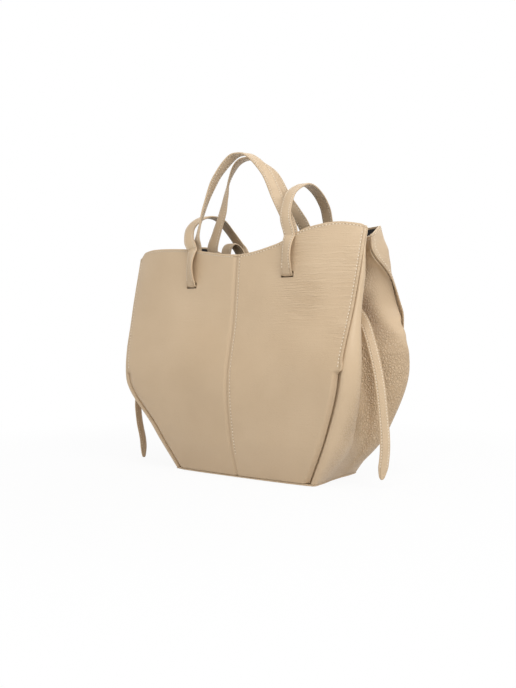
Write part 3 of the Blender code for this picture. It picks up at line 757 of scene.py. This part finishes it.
walls = {
    "rows": 150,
    "columns": 96,
    "ramp": 0.006,
    "stitch": {"pitch": 0.0038, "length": 0.0022, "thick": 0.0013},
    "seamPoints": 260,
    "grooveWide": 0.0011,
    "seamIn": 0.0034,
    "rimIn": 0.0030,
    "centreIn": 0.0031,
    "centreFrom": 0.10,
    # below the notch the panel's edge turns in and draws back from the seam
    "turnIn": 0.0036,
    "turnWidth": 0.0095,
    "turnPower": 1.5,
    "recede": {right: 0.0028, left: 0.0008},
    "recedeFoot": 0.35,
    # above it the edge laps over the gusset, with a small flap just over the notch
    "overlap": 0.0004,
    "flap": {right: 0.0018, left: 0.0008},
    "flapAbove": 0.014,
    "flapTall": 0.018,
    "edgeWidth": 0.010,
    # stitched lengths: the rim's from the centre and to the seam, the seams' as shares of height
    "rimStitches": {right: 0.0035, left: 0.0065, "end": 0.004},
    "seamStitches": (0.008, 0.975),
    "centreStitches": (0.10, 0.985),
    "gussetEnds": 14,
}
# the front and back cloth, which stands off the doubled leather along the centre seam
cloth = {
    "rows": 90,
    "columns": 150,
    "from": 0.012,
    "to": 0.992,
    "clear": 0.0012,
    "doubleLeft": (-0.0068, 0.006),
    "doubleRight": (0.0090, 0.0055),
    "standOff": 1.12,
}
# the grids of a gusset and its cloth; its painted shade starts short of the seams and grows from the foot
fold = {
    "rows": 130,
    "columns": 150,
    "clothColumns": 76,
    "shadeTo": 0.78,
    "shadeEdge": 0.25,
    "shadeFoot": (-0.1, 0.3),
}
sheetIn = bag["leather"] + bag["gap"]
gussetIn = bag["leather"] + 2 * bag["gap"]
panelSeams = (
    ("rimMap", 1, walls["rimIn"], walls["grooveWide"]),
    ("edgeMap", 0, walls["seamIn"], walls["grooveWide"]),
    ("seamMap", 0, walls["centreIn"], walls["grooveWide"]),
)
panelHide = hideFinish("panelHide", 0.20, (760.0, 760.0, 760.0), 0.0007, creases=True, seams=panelSeams)
gussetHide = hideFinish("gussetHide", 0.95, (370.0, 370.0, 270.0), 0.0010, foldMap="foldMap")
clothLining = clothFinish("liningCloth")


def halfColumns(side, v):
    # x across one half, from the centre seam to the side seam; the left half starts under the right one
    start = -bag["lap"] if side == left else 0.0
    share = np.linspace(0.0, 1.0, walls["columns"])[None, :]
    return start + (seamX(side, v) - start) * share


def tuck(x):
    # the left half's depth below the surface: under the right half, then up a ramp beside it
    return sheetIn * (1 - softStep(x / walls["ramp"]))


def makePanel(face, side):
    v = np.linspace(0.0, 1.0, walls["rows"])[:, None]
    x = halfColumns(side, v)
    fromSeam = seamX(side, v) - x
    low = belowNotch(v)
    turned = softStep((walls["turnWidth"] - fromSeam) / walls["turnWidth"]) ** walls["turnPower"]
    depth = (tuck(x) if side == left else 0.0) + walls["turnIn"] * low * turned
    flap = walls["flap"][side] * hump((v - bag["notch"] - walls["flapAbove"]) / walls["flapTall"])
    foot = walls["recedeFoot"]
    recede = walls["recede"][side] * (foot + (1 - foot) * v / bag["notch"])
    edge = softStep((walls["edgeWidth"] - fromSeam) / walls["edgeWidth"])
    x = x + ((1 - low) * (walls["overlap"] + flap) - low * recede) * edge
    grid = insetPanel(face, side * x, np.broadcast_to(v, x.shape), depth)
    rowRun, columnRun = lengthAlong(grid, 1), lengthAlong(grid, 0)
    fromRim = columnRun[-1:] - columnRun
    aboveNotch = np.where(v > bag["notch"], rowRun[:, -1:] - rowRun, 1.0)
    centre = np.where((v > walls["centreFrom"]) & (side == right), rowRun, 1.0)
    across = {"rimMap": rowRun, "edgeMap": aboveNotch, "seamMap": centre}
    maps = {title: np.stack([run, fromRim], -1) for title, run in across.items()}
    name = f"{faceName[face]}Panel{sideName[side].title()}"
    piece = addGrid(name, grid, face * side > 0, maps)
    giveThickness(piece, bag["leather"])
    dress(piece, panelHide, [f"{faceName[face]}_panel_{sideName[side]}"])
    return piece


def makeFaceLining(face):
    v = np.linspace(cloth["from"], cloth["to"], cloth["rows"])[:, None]
    clear = bag["lap"] + cloth["clear"]
    share = np.linspace(-1.0, 1.0, cloth["columns"])[None, :]
    x = np.where(share < 0, share * (seamX(left, v) - clear), share * (seamX(right, v) - clear))
    (start, rising), (end, falling) = cloth["doubleLeft"], cloth["doubleRight"]
    doubled = softStep((x - start) / rising) * (1 - softStep((x - end) / falling))
    grid = insetPanel(face, x, np.broadcast_to(v, x.shape), sheetIn * (1 + doubled * cloth["standOff"]))
    piece = addGrid(f"{faceName[face]}Lining", grid, face == back)
    giveThickness(piece, bag["lining"], 0.0)
    dress(piece, clothLining, [f"{faceName[face]}_lining"])
    return piece


def gussetGrid(side, levels, depth, columns):
    return np.array([gussetRow(side, v, depth, columns) for v in levels])


def makeGusset(side):
    levels = np.linspace(0.0, 1.0, fold["rows"])
    outer = gussetGrid(side, levels, gussetIn, fold["columns"])
    inner = gussetGrid(side, levels, gussetIn + bag["leather"], fold["columns"])
    across, high = np.linspace(-1.0, 1.0, fold["columns"])[None, :], levels[:, None]
    # painted shade over the fold, short of its seams; the same mask also makes the grain stronger there
    start, over = fold["shadeFoot"]
    shaded = softStep((fold["shadeTo"] - np.abs(across)) / fold["shadeEdge"])
    shaded = shaded * softStep((high - start) / over)
    # a painted shadow where the fold is deepest
    tight = hump((across - gusset["tightAt"][0]) / gusset["tightWide"][0])
    tight = tight * hump((high - gusset["tightAt"][1]) / gusset["tightWide"][1])
    maps = {"foldMap": np.stack([shaded, tight], -1)}
    piece = addShell(f"gusset{sideName[side].title()}", outer, inner, side == left, maps)
    dress(piece, gussetHide, [f"gusset_{sideName[side]}"])
    # the cloth lies just inside the leather and ends a little short of its rim
    levels, near = levels[2:-1:2], gussetIn + sheetIn
    sheets = (gussetGrid(side, levels, depth, fold["clothColumns"]) for depth in (near, near + bag["lining"]))
    piece = addShell(f"{sideName[side]}Lining", *sheets, side == left)
    dress(piece, clothLining, [f"{sideName[side]}_lining"])
    return outer


panels = {(face, side): makePanel(face, side) for face in (front, back) for side in (right, left)}
faceLinings = {face: makeFaceLining(face) for face in (front, back)}
gussetGrids = {side: makeGusset(side) for side in (right, left)}
print("walls ready")


def wallStitches(face):
    rows = []

    def sew(x, v):
        rows.append(stitchRow(panelPoint(face, x, v), panelNormal(face, x, v), walls["stitch"]))

    for side in (right, left):
        reach = seamX(side, 1.0) - walls["rimStitches"]["end"]
        x = side * np.linspace(walls["rimStitches"][side], reach, walls["seamPoints"])
        sew(x, 1 - walls["rimIn"] / rimHeight(x, np.ones_like(x)))
        aboveNotch, top = walls["seamStitches"]
        v = np.linspace(bag["notch"] + aboveNotch, top, walls["seamPoints"])
        sew(side * (seamX(side, v) - walls["seamIn"]), v)
    v = np.linspace(*walls["centreStitches"], walls["seamPoints"])
    sew(np.full_like(v, walls["centreIn"]), v)
    addStitches(f"{faceName[face]}WallStitches", rows)


def gussetStitches(side):
    rim, below, lower = gussetGrids[side][:-4:-1]
    share = walls["rimIn"] / np.linalg.norm(rim - below, axis=1)
    row = rim + (below - rim) * share[:, None]
    normal = unit(np.cross(unit(np.gradient(row, axis=0)), unit(rim - lower))) * side
    keep = slice(walls["gussetEnds"], -walls["gussetEnds"])
    rows = [stitchRow(row[keep], normal[keep], walls["stitch"])]
    addStitches(f"{sideName[side]}RimStitches", rows)


for face in (front, back):
    wallStitches(face)
for side in (right, left):
    gussetStitches(side)
print("wall stitches ready")


# base

base = {
    "points": 60,
    "trim": 6,
    "rings": (0.02, 0.3, 0.6, 0.85, 0.96),
    "edgeSteps": 7,
    "sharpFrom": 40,
    "panel": {"inset": 0.0003, "bottom": 0.0, "top": 0.0018, "round": 0.0007},
    "cloth": {"inset": 0.0066, "bottom": 0.0039, "top": 0.0045, "round": 0.0002},
}


def baseOutline(inset):
    # once round the foot of the walls, moved inward
    reach = bag["baseWidth"] / 2 - bag["lap"]
    x = np.linspace(-reach, reach, base["points"])
    level, deep = np.zeros_like(x), np.full_like(x, inset)
    ahead, behind = (insetPanel(face, x, level, deep)[:, :2] for face in (front, back))
    keep = slice(base["trim"], -base["trim"])
    rows = (gussetRow(side, 0.0, gussetIn + inset, base["points"])[keep, :2] for side in (right, left))
    atRight, atLeft = rows
    return np.concatenate([ahead, atRight, behind[::-1], atLeft[::-1]])


def makePlate(name, size, finish, node):
    # nested outlines from the middle to the edge: a flat disc with a rounded rim
    outline = baseOutline(size["inset"])
    bottom, top = size["bottom"], size["top"]
    outward = unit(outline - outline.mean(0))

    def atHeight(points, z):
        return np.column_stack([points, np.full(len(points), z)])

    edge = []
    for turn in np.linspace(-math.pi / 2, math.pi / 2, base["edgeSteps"]):
        z = (bottom + top) / 2 + (top - bottom) / 2 * math.sin(turn)
        edge.append(atHeight(outline - outward * (size["round"] * (1 - math.cos(turn))), z))
    lower = [atHeight(outline * share, bottom) for share in base["rings"]]
    upper = [atHeight(outline * share, top) for share in base["rings"][::-1]]
    grid = np.array(lower + edge + upper)
    piece = addGrid(name, np.concatenate([grid, grid[:, :1]], 1))
    closeMesh(piece)
    shadeSmooth(piece, base["sharpFrom"])
    dress(piece, finish, [node])


baseHide = hideFinish("baseHide", 0.5, (620.0, 620.0, 620.0), 0.0004)
makePlate("basePanel", base["panel"], baseHide, "base_panel")
makePlate("baseCloth", base["cloth"], clothLining, "base_lining")
boardNode = bpy.data.objects["base_board"]
boardNode.data.materials.clear()
boardNode.data.materials.append(boardFinish("greyboard"))
print("base ready")


# the strap

strap = {
    "width": 0.014,
    "thickness": 0.0028,
    "slotSpacing": 0.136,
    "slotBelowRim": 0.041,
    "clearance": 0.0009,
    "handleRise": 0.1115,
    "loopRise": {right: 0.066, left: 0.0455},
    "stitchIn": 0.0021,
    "grooveWide": 0.0009,
    "stitch": {"pitch": 0.0033, "length": 0.0024, "thick": 0.00095},
    # between slot and rim the outer legs bow off the wall, and the front ones lean by degrees
    "bow": 0.0042,
    "bowPower": 0.8,
    "lean": {front: -25.0, back: 0.0},
    "softening": 14,
    "bare": (8, -8),
    "turnLevel": 0.9,
    "bendSteps": 6,
    "legSteps": 9,
    "routeSteps": 16,
    "handlePoints": 330,
    "loopPoints": 240,
    # how far below and above its feet the levels of an arch lie
    "handleBend": (0.010, 0.012),
    "loopBend": (0.010, 0.010),
}
# the strap's section: powers that flatten it and round its edges, and the dip under its stitches
section = {
    "points": 28,
    "flat": 0.45,
    "dome": 0.62,
    "dip": 0.16,
    "dipWide": 0.10,
    "stitchLevel": 0.90,
}
wallThick = sheetIn + bag["lining"]
legOffset = strap["thickness"] / 2 + strap["clearance"]
turnRadius = wallThick / 2 + legOffset


def slotShare(side):
    x = side * strap["slotSpacing"] / 2
    top = float(rimHeight(np.array(x), np.array(1.0)))
    return (top - strap["slotBelowRim"] - bag["floor"]) / (top - bag["floor"])


def legPoints(face, side, v, inside, lift=0.0):
    x = np.full(np.shape(v), side * strap["slotSpacing"] / 2)
    depth = wallThick + legOffset if inside else -legOffset
    return insetPanel(face, x, np.asarray(v, float), np.full(np.shape(v), depth) - lift)


def slotEnds(face, side):
    # the strap's middle just outside and just inside the wall at slot height
    low = np.array([slotShare(side)])
    return legPoints(face, side, low, False)[0], legPoints(face, side, low, True)[0]


def slotTurn(face, side, outerHalf):
    # a quarter turn from the middle of the wall, under the slot's upper edge, to the leg's foot
    outer, inner = slotEnds(face, side)
    turns = np.linspace(math.pi / 2, 0.0, strap["bendSteps"])[:, None]
    reach = (outer - inner) / 2 if outerHalf else (inner - outer) / 2
    return (outer + inner) / 2 + reach * np.cos(turns) + np.array([0.0, 0.0, -turnRadius]) * np.sin(turns)


def panelTurn(face, side):
    # the wall's direction in degrees under the strap, near the rim
    x, step, level = np.array(side * strap["slotSpacing"] / 2), 0.001, strap["turnLevel"]
    along = panelPoint(face, x + step, level) - panelPoint(face, x - step, level)
    return math.degrees(math.atan2(along[1], along[0]))


def smoothRoute(points, turns, count):
    # Catmull-Rom through the points, the turn eased from each to the next, then spaced evenly
    points, turns = np.asarray(points, float), np.asarray(turns, float)
    padded = np.concatenate([[2 * points[0] - points[1]], points, [2 * points[-1] - points[-2]]])
    t = np.linspace(0.0, 1.0, strap["routeSteps"], endpoint=False)[:, None]
    line = []
    for i in range(len(points) - 1):
        a, b, c, d = padded[i : i + 4]
        square, cube = 2 * a - 5 * b + 4 * c - d, 3 * b - 3 * c + d - a
        curve = 0.5 * (2 * b + (c - a) * t + square * t**2 + cube * t**3)
        line.append(np.column_stack([curve, turns[i] + (turns[i + 1] - turns[i]) * softStep(t[:, 0])]))
    line.append(np.append(points[-1], turns[-1])[None])
    return evenly(np.concatenate(line), count)


def soften(values, times):
    # three-point averages along the line, in place, ends kept
    for _ in range(times):
        values[1:-1] = (values[:-2] + 2 * values[1:-1] + values[2:]) / 4


strapSeams = (
    ("strapMap", 0, strap["stitchIn"], strap["grooveWide"]),
    ("strapMap", 0, strap["width"] - strap["stitchIn"], strap["grooveWide"]),
)
strapHide = hideFinish("strapHide", 0.42, (560.0, 560.0, 560.0), 0.0009, seams=strapSeams)


def addStrap(name, route, turns, count, size, bare, taper=None):
    # a rounded, slightly domed flat section carried along the route, and its stitches: a row along both edges
    # of both faces; a turn is the width's direction about Z in degrees, and the bare ends have no stitches
    sampled = smoothRoute(route, turns, count)
    soften(sampled[:, 3], size["softening"])
    line, turn = sampled[:, :3], np.radians(sampled[:, 3])
    tangent = unit(np.gradient(line, axis=0))
    side = np.stack([np.cos(turn), np.sin(turn), np.zeros_like(turn)], 1)
    side = unit(side - tangent * np.sum(side * tangent, 1, keepdims=True))
    normal = unit(np.cross(tangent, side))
    width, thickness = size["width"], size["thickness"]
    half = np.full(len(line), width / 2)
    if taper:
        half = half * taper(line)
    angles = np.linspace(0.0, 2 * math.pi, section["points"], endpoint=False)
    across = np.sign(np.cos(angles)) * np.abs(np.cos(angles)) ** section["flat"]
    high = np.sign(np.sin(angles)) * np.abs(np.sin(angles)) ** section["dome"]
    seam = 1 - 2 * strap["stitchIn"] / width
    high = high * (1 - section["dip"] * hump((np.abs(across) - seam) / section["dipWide"])) * thickness / 2
    grid = line[:, None] + across[None, :, None] * half[:, None, None] * side[:, None]
    grid = grid + high[None, :, None] * normal[:, None]
    wide = np.broadcast_to((across + 1) / 2 * width, grid.shape[:2])
    chart = np.stack([wide, np.broadcast_to(lengthOf(line)[:, None], wide.shape)], -1)
    closed, chart = (np.concatenate([values, values[:, :1]], 1) for values in (grid, chart))
    piece = addGrid(name, closed, False, {"strapMap": chart})
    closeMesh(piece)
    piece.data.shade_smooth()
    rows, keep = [], slice(*bare)
    for up in (1, -1):
        for edge in (1, -1):
            path = line + side * edge * (half - size["stitchIn"])[:, None]
            path = path + normal * up * (thickness / 2 * section["stitchLevel"])
            rows.append(stitchRow(path[keep], normal[keep] * up, strap["stitch"]))
    return piece, addStitches(f"{name}Stitches", rows, None)


def addArch(name, legs, arch, archTurns, count, levels, body, *others):
    # up one leg, over the arch and down the other leg; its levels are not used
    (first, firstTurns), (last, lastTurns) = legs
    route, turns = [*first, *arch, *last[::-1]], [*firstTurns, *archTurns, *lastTurns[::-1]]
    parts = addStrap(name, route, turns, count, strap, strap["bare"])
    for part in parts:
        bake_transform(part)
    dress(parts[0], strapHide, [body, *others], None)


# how each inner leg leaves the wall: up to which share of height it keeps to it and in how many points, and
# at which point it starts to turn towards the handle and over how many
innerLegs = {
    (front, left): {"upTo": 0.96, "points": 5, "turnFrom": 9, "turnOver": 1},
    (front, right): {"upTo": 0.96, "points": 5, "turnFrom": 9, "turnOver": 1},
    (back, left): {"upTo": 0.985, "points": 5, "turnFrom": 10, "turnOver": 7},
    (back, right): {"upTo": 0.90, "points": 4, "turnFrom": 8, "turnOver": 5},
}
# a handle's foot, as a step from where its leg would cross the rim
handleFeet = {
    (front, left): (0.0, 0.0005, 0.002),
    (front, right): (0.0, 0.0005, 0.002),
    (back, left): (0.006, -0.072, 0.004),
    (back, right): (-0.012, -0.036, 0.004),
}
# a handle's arch from its left foot: share of the way to the right foot, then shift to the back and
# height as shares of the rise, then the strap's turn in degrees
handleArch = {
    front: (
        (0.02, -0.01, 0.17, 137),
        (0.07, 0.03, 0.45, 114),
        (0.15, 0.09, 0.74, 92),
        (0.27, 0.15, 0.94, 76),
        (0.37, 0.17, 0.985, 70),
        (0.50, 0.16, 0.93, 62),
        (0.665, 0.15, 0.72, 48),
        (0.80, 0.105, 0.43, 36),
        (0.95, 0.035, 0.14, 16),
    ),
    back: (
        (0.03, 0.025, 0.17, 176),
        (0.07, 0.06, 0.37, 168),
        (0.09, 0.09, 0.56, 150),
        (0.12, 0.105, 0.75, 124),
        (0.22, 0.07, 0.905, 104),
        (0.36, 0.01, 0.945, 88),
        (0.52, -0.05, 0.88, 74),
        (0.715, -0.12, 0.70, 52),
        (0.86, -0.15, 0.42, 38),
        (0.98, -0.05, 0.15, 22),
    ),
}
# the back strap's slack: a little bow at the left, as steps from the point where it leaves the wall and a
# last one before the foot, and a sagging run at the right
slack = {
    "bow": (
        (-0.004, -0.006, 0.014),
        (-0.006, -0.016, 0.019),
        (-0.006, -0.026, 0.013),
        (-0.005, -0.032, -0.004),
        (-0.001, -0.042, -0.020),
        (0.002, -0.056, -0.024),
    ),
    "bowEnd": (0.0, 0.004, -0.012),
    "run": (0.3, 0.6, 0.85),
    "sag": (0.0, 0.0, -0.022),
    "runEnd": (0.0, 0.0, -0.006),
}


def handleFoot(face, side):
    return legPoints(face, side, np.array([1.0]), True)[0] + handleFeet[face, side]


def innerLeg(face, side, footTurn):
    # points from the slot up the inside of the wall to the handle's foot, and the strap's turn at each
    way, foot = innerLegs[face, side], handleFoot(face, side)
    shares = np.linspace(slotShare(side), way["upTo"], way["points"])[1:]
    leg = [*slotTurn(face, side, False), *legPoints(face, side, shares, True)]
    top = leg[-1]
    if face == back and side == left:
        leg += [top + step for step in slack["bow"]] + [foot + slack["bowEnd"]]
    elif face == back:
        sag = np.array(slack["sag"])
        leg += [top + (foot - top) * s + sag * math.sin(math.pi * s) for s in slack["run"]]
        leg.append(foot + slack["runEnd"])
    leg.append(foot)
    turned = np.clip((np.arange(len(leg)) - way["turnFrom"]) / way["turnOver"], 0.0, 1.0)
    return leg, panelTurn(face, side) + (footTurn - panelTurn(face, side)) * turned


def makeHandle(face):
    leftFoot, rightFoot = handleFoot(face, left), handleFoot(face, right)
    hinge = rightFoot - leftFoot
    footTurn = math.degrees(math.atan2(hinge[1], hinge[0]))
    shape = np.array(handleArch[face])
    rise = shape[:, 1:3] * strap["handleRise"]
    arch = leftFoot + hinge * shape[:, :1] + np.column_stack([np.zeros(len(rise)), rise])
    (leftLeg, leftTurns), rightLeg = innerLeg(face, left, footTurn), innerLeg(face, right, footTurn)
    legs = (leftLeg, leftTurns + 180.0), rightLeg
    middle = (leftFoot + rightFoot) / 2
    below, above = strap["handleBend"]
    low, high = min(leftFoot[2], rightFoot[2]) - below, max(leftFoot[2], rightFoot[2]) + above
    levels = (middle[0], middle[1], low, high)
    name = faceName[face]
    nodes = [f"{name}_handle", f"{name}_strap_left", f"{name}_strap_right"]
    addArch(f"{name}Handle", legs, arch, shape[:, 3], strap["handlePoints"], levels, *nodes)


# a loop's arch from its front foot: share of the way to the back foot, then shift away from the middle
# and height as shares of the rise
loopShape = {
    right: (
        (0.000, -0.015, 0.08),
        (0.012, -0.09, 0.31),
        (0.080, -0.13, 0.55),
        (0.210, -0.15, 0.81),
        (0.500, -0.16, 1.00),
        (0.750, -0.16, 0.92),
        (0.920, -0.13, 0.67),
        (1.000, -0.12, 0.35),
        (1.000, -0.015, 0.08),
    ),
    left: (
        (0.000, 0.04, 0.08),
        (0.030, 0.19, 0.28),
        (0.110, 0.29, 0.62),
        (0.240, 0.23, 0.89),
        (0.420, 0.21, 1.00),
        (0.630, 0.23, 0.96),
        (0.870, 0.31, 0.68),
        (1.000, 0.19, 0.30),
        (1.000, 0.04, 0.08),
    ),
}


def outerLeg(face, side):
    # points from the slot up the outside of the wall to the rim, and the strap's turn at each
    low = slotShare(side)
    t = np.linspace(0.0, 1.0, strap["legSteps"])[1:]
    swell = np.sin(math.pi * t) ** strap["bowPower"]
    bend = slotTurn(face, side, True)
    leg = [*bend, *legPoints(face, side, low + (1 - low) * t, False, strap["bow"] * swell)]
    return leg, panelTurn(face, side) + np.concatenate([np.zeros(len(bend)), strap["lean"][face] * swell])


def makeLoop(side):
    feet = [legPoints(face, side, np.array([1.0]), False)[0] for face in (front, back)]
    shape = np.array(loopShape[side])
    out, up = (shape[:, 1:] * strap["loopRise"][side]).T
    rise = np.column_stack([side * out, np.zeros(len(out)), up])
    arch = feet[0] + (feet[1] - feet[0]) * shape[:, :1] + rise
    x, y, z = (feet[0] + feet[1]) / 2
    legs = outerLeg(front, side), outerLeg(back, side)
    below, above = strap["loopBend"]
    levels, turns, name = (x, y, z - below, z + above), [0.0] * len(arch), sideName[side]
    addArch(f"{name}Loop", legs, arch, turns, strap["loopPoints"], levels, f"{name}_loop")


for face in (front, back):
    makeHandle(face)
for side in (right, left):
    makeLoop(side)
print("strap ready")


# a slot's play: below and above the turning strap, past its width, and the cutter's depth
slots = {
    "below": 0.0008,
    "above": 0.0012,
    "wider": 0.0016,
    "deep": 0.020,
}


def cutSlot(face, side):
    # a snug mouth through leather and lining where the strap turns
    centre = sum(slotEnds(face, side)) / 2
    bottom, top = centre[2] - turnRadius - strap["thickness"] / 2 - slots["below"], centre[2] + slots["above"]
    bpy.ops.mesh.primitive_cube_add(size=1.0)
    cutter = bpy.context.object
    cutter.scale = (strap["width"] + slots["wider"], slots["deep"], top - bottom)
    cutter.rotation_euler.z = math.radians(panelTurn(face, side))
    cutter.location = (centre[0], centre[1], (top + bottom) / 2)
    bpy.context.view_layer.update()
    for piece in (panels[face, side], faceLinings[face]):
        hole = piece.modifiers.new("slot", "BOOLEAN")
        hole.operation = "DIFFERENCE"
        hole.solver = "EXACT"
        hole.object = cutter
        applyModifiers(piece)
    bpy.data.objects.remove(cutter, do_unlink=True)


for face in (front, back):
    for side in (right, left):
        cutSlot(face, side)
print("slots cut")


# side laces

lace = {
    "width": 0.0115,
    "thickness": 0.0022,
    "stitchIn": 0.0019,
    "softening": 10,
    "points": 150,
    "bare": (3, -9),
    "share": 0.72,
    "rowPoints": 240,
    "standOff": 0.0018,
    "firstStep": (0.001, -0.0004, -0.005),
    # towards its tip a lace narrows to a blunt point
    "point": 0.014,
    "tip": 0.20,
    "turn": {right: 42.0, left: 92.0},
    "hinge": {right: (0.11767, -0.00826, 0.21148), left: (-0.13555, -0.00853, 0.20053)},
}

# where each lace hangs, from below its stitched end to its tip near the ground
laceRoute = {
    right: (
        (0.1390, -0.0120, 0.1880),
        (0.1505, -0.0150, 0.1650),
        (0.1630, -0.0190, 0.1250),
        (0.1690, -0.0200, 0.0850),
        (0.1715, -0.0195, 0.0450),
        (0.1668, -0.0180, 0.0100),
    ),
    left: (
        (-0.1560, -0.0120, 0.1650),
        (-0.1740, -0.0220, 0.1250),
        (-0.1830, -0.0290, 0.0850),
        (-0.1800, -0.0310, 0.0550),
        (-0.1725, -0.0320, 0.0280),
        (-0.1700, -0.0330, 0.0050),
    ),
}


def laceAnchor(side):
    # just off the gusset's outer face, nearest to the lace's hinge, and the wall's direction there in degrees
    x, y, z = lace["hinge"][side]
    row = gussetRow(side, lace["share"], gussetIn, lace["rowPoints"])[:, :2]
    k = np.linalg.norm(row - (x, y), axis=1).argmin()
    tangent = unit(row[k + 1] - row[k - 1])
    spot = row[k] + np.array([tangent[1], -tangent[0]]) * side * lace["standOff"]
    turn = math.degrees(math.atan2(tangent[1], tangent[0])) % 180.0
    return np.array([*spot, z]), turn if side == left or turn < 90 else turn - 180.0


def narrowed(line):
    # full width down to a rounded point: tip + (1 - tip) * sqrt(distance to the end / point)
    remaining = np.linalg.norm(line[-1] - line, axis=1)
    return np.sqrt(np.clip(remaining / lace["point"], 0.0, 1.0)) * (1 - lace["tip"]) + lace["tip"]


def makeLace(side):
    anchor, wallTurn = laceAnchor(side)
    hanging = lace["turn"][side]
    route = [anchor, anchor + np.array(lace["firstStep"]) * (side, 1, 1), *laceRoute[side]]
    turns = [wallTurn, wallTurn, (wallTurn + hanging) / 2] + [hanging] * (len(route) - 3)
    parts = addStrap(f"{sideName[side]}Lace", route, turns, lace["points"], lace, lace["bare"], narrowed)
    body = f"{sideName[side]}_lace"
    dress(parts[0], strapHide, [body], body)
    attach(parts[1], body)


for side in (right, left):
    makeLace(side)
print("laces ready")


# studio

studio = {
    "floor": 0.76,
    "floorFibres": 0.03,
    "floorSize": 12.0,
    "paperFrom": 0.30,
    "paperTo": 0.62,
    "glow": 0.92,
    "world": 0.60,
    "aim": (0.0, 0.0, 0.16),
    "lamps": (
        ("keyLight", (0.25, -1.50, 1.00), 2.4, 0.7),
        ("topLight", (0.45, -0.60, 1.70), 9.0, 0.9),
        ("sideLight", (1.50, -0.38, 1.05), 11.0, 0.9),
        ("fillLight", (-1.45, -0.95, 0.85), 0.5, 1.3),
        ("backLight", (-0.20, 1.40, 1.40), 5.0, 1.2),
    ),
}
# the photograph's camera: focal length and frame width in pixels, place in metres, dip and turn in degrees
photo = {
    "focal": 780.0,
    "frame": 516.0,
    "place": (0.5373, -0.7944, 0.1770),
    "dip": 1.2486,
    "turn": 34.55,
}


def seenDirectly(f):
    # 1 for rays from the camera, in mirrors and through glass
    names = ("Is Camera Ray", "Is Glossy Ray", "Is Transmission Ray")
    camera, mirror, glass = (f.add("ShaderNodeLightPath", {}, {}, ray) for ray in names)
    return (camera + mirror + glass).clipped()


def floorFinish():
    # white paper that catches the contact shadow and fades to plain white away from the bag
    f = newFinish("whitePaper")
    point = f.place()
    fibre = f.noise(point, 700.0, 3.0)
    pale = studio["floor"] + studio["floorFibres"]
    colour = f.blendColours(fibre, (studio["floor"],) * 3, (pale,) * 3)
    f.finishWith(colour=colour, rough=f.spread(fibre, 0.3, 0.7, (0.95, 0.85)), specular=0.0)
    away = f.add("ShaderNodeVectorMath", {"operation": "LENGTH"}, {0: point}, "Value")
    levels = {"From Min": studio["paperFrom"], "From Max": studio["paperTo"], "To Min": studio["glow"]}
    fade = f.add("ShaderNodeMapRange", {"interpolation_type": "SMOOTHSTEP"}, {"Value": away, **levels})
    glow = f.add("ShaderNodeEmission", {}, {"Color": (1.0, 1.0, 1.0), "Strength": 1.0})
    lit = Wire(f, f.tree.nodes["Principled BSDF"].outputs[0])
    mixed = f.add("ShaderNodeMixShader", {}, {0: fade * seenDirectly(f), 1: lit, 2: glow})
    f.feed(f.tree.nodes["Material Output"], {"Surface": mixed})
    return f.owner


def makeWorld():
    # soft even light, seen as plain white
    world = bpy.data.worlds.new("studioLight")
    bpy.context.scene.world = world
    f = Finish(world)
    level = f.spread(seenDirectly(f), 0.0, 1.0, (studio["world"], 1.0))
    f.feed(world.node_tree.nodes["Background"], {"Color": (1.0, 1.0, 1.0), "Strength": level})


def makeLamp(name, place, power, size):
    lamp = bpy.data.lights.new(name, "AREA")
    lamp.energy = power
    lamp.size = size
    holder = bpy.data.objects.new(name, lamp)
    holder.location = place
    holder.rotation_euler = (Vector(studio["aim"]) - Vector(place)).to_track_quat("-Z", "Y").to_euler()
    bpy.context.scene.collection.objects.link(holder)


def makeStudio():
    bpy.ops.mesh.primitive_plane_add(size=studio["floorSize"])
    floor = bpy.context.object
    floor.name = "floor"
    floor.data.materials.append(floorFinish())
    makeWorld()
    for lamp in studio["lamps"]:
        makeLamp(*lamp)


def makeCamera():
    camera = bpy.data.cameras.new("photoCamera")
    camera.sensor_fit = "HORIZONTAL"
    camera.sensor_width = 36.0
    camera.lens = photo["focal"] / photo["frame"] * camera.sensor_width
    holder = bpy.data.objects.new("photoCamera", camera)
    holder.location = photo["place"]
    holder.rotation_euler = (math.radians(90.0 - photo["dip"]), 0.0, math.radians(photo["turn"]))
    bpy.context.scene.collection.objects.link(holder)
    bpy.context.scene.camera = holder


makeStudio()
makeCamera()
bpy.context.scene.view_settings.view_transform = "Standard"
print("studio ready")
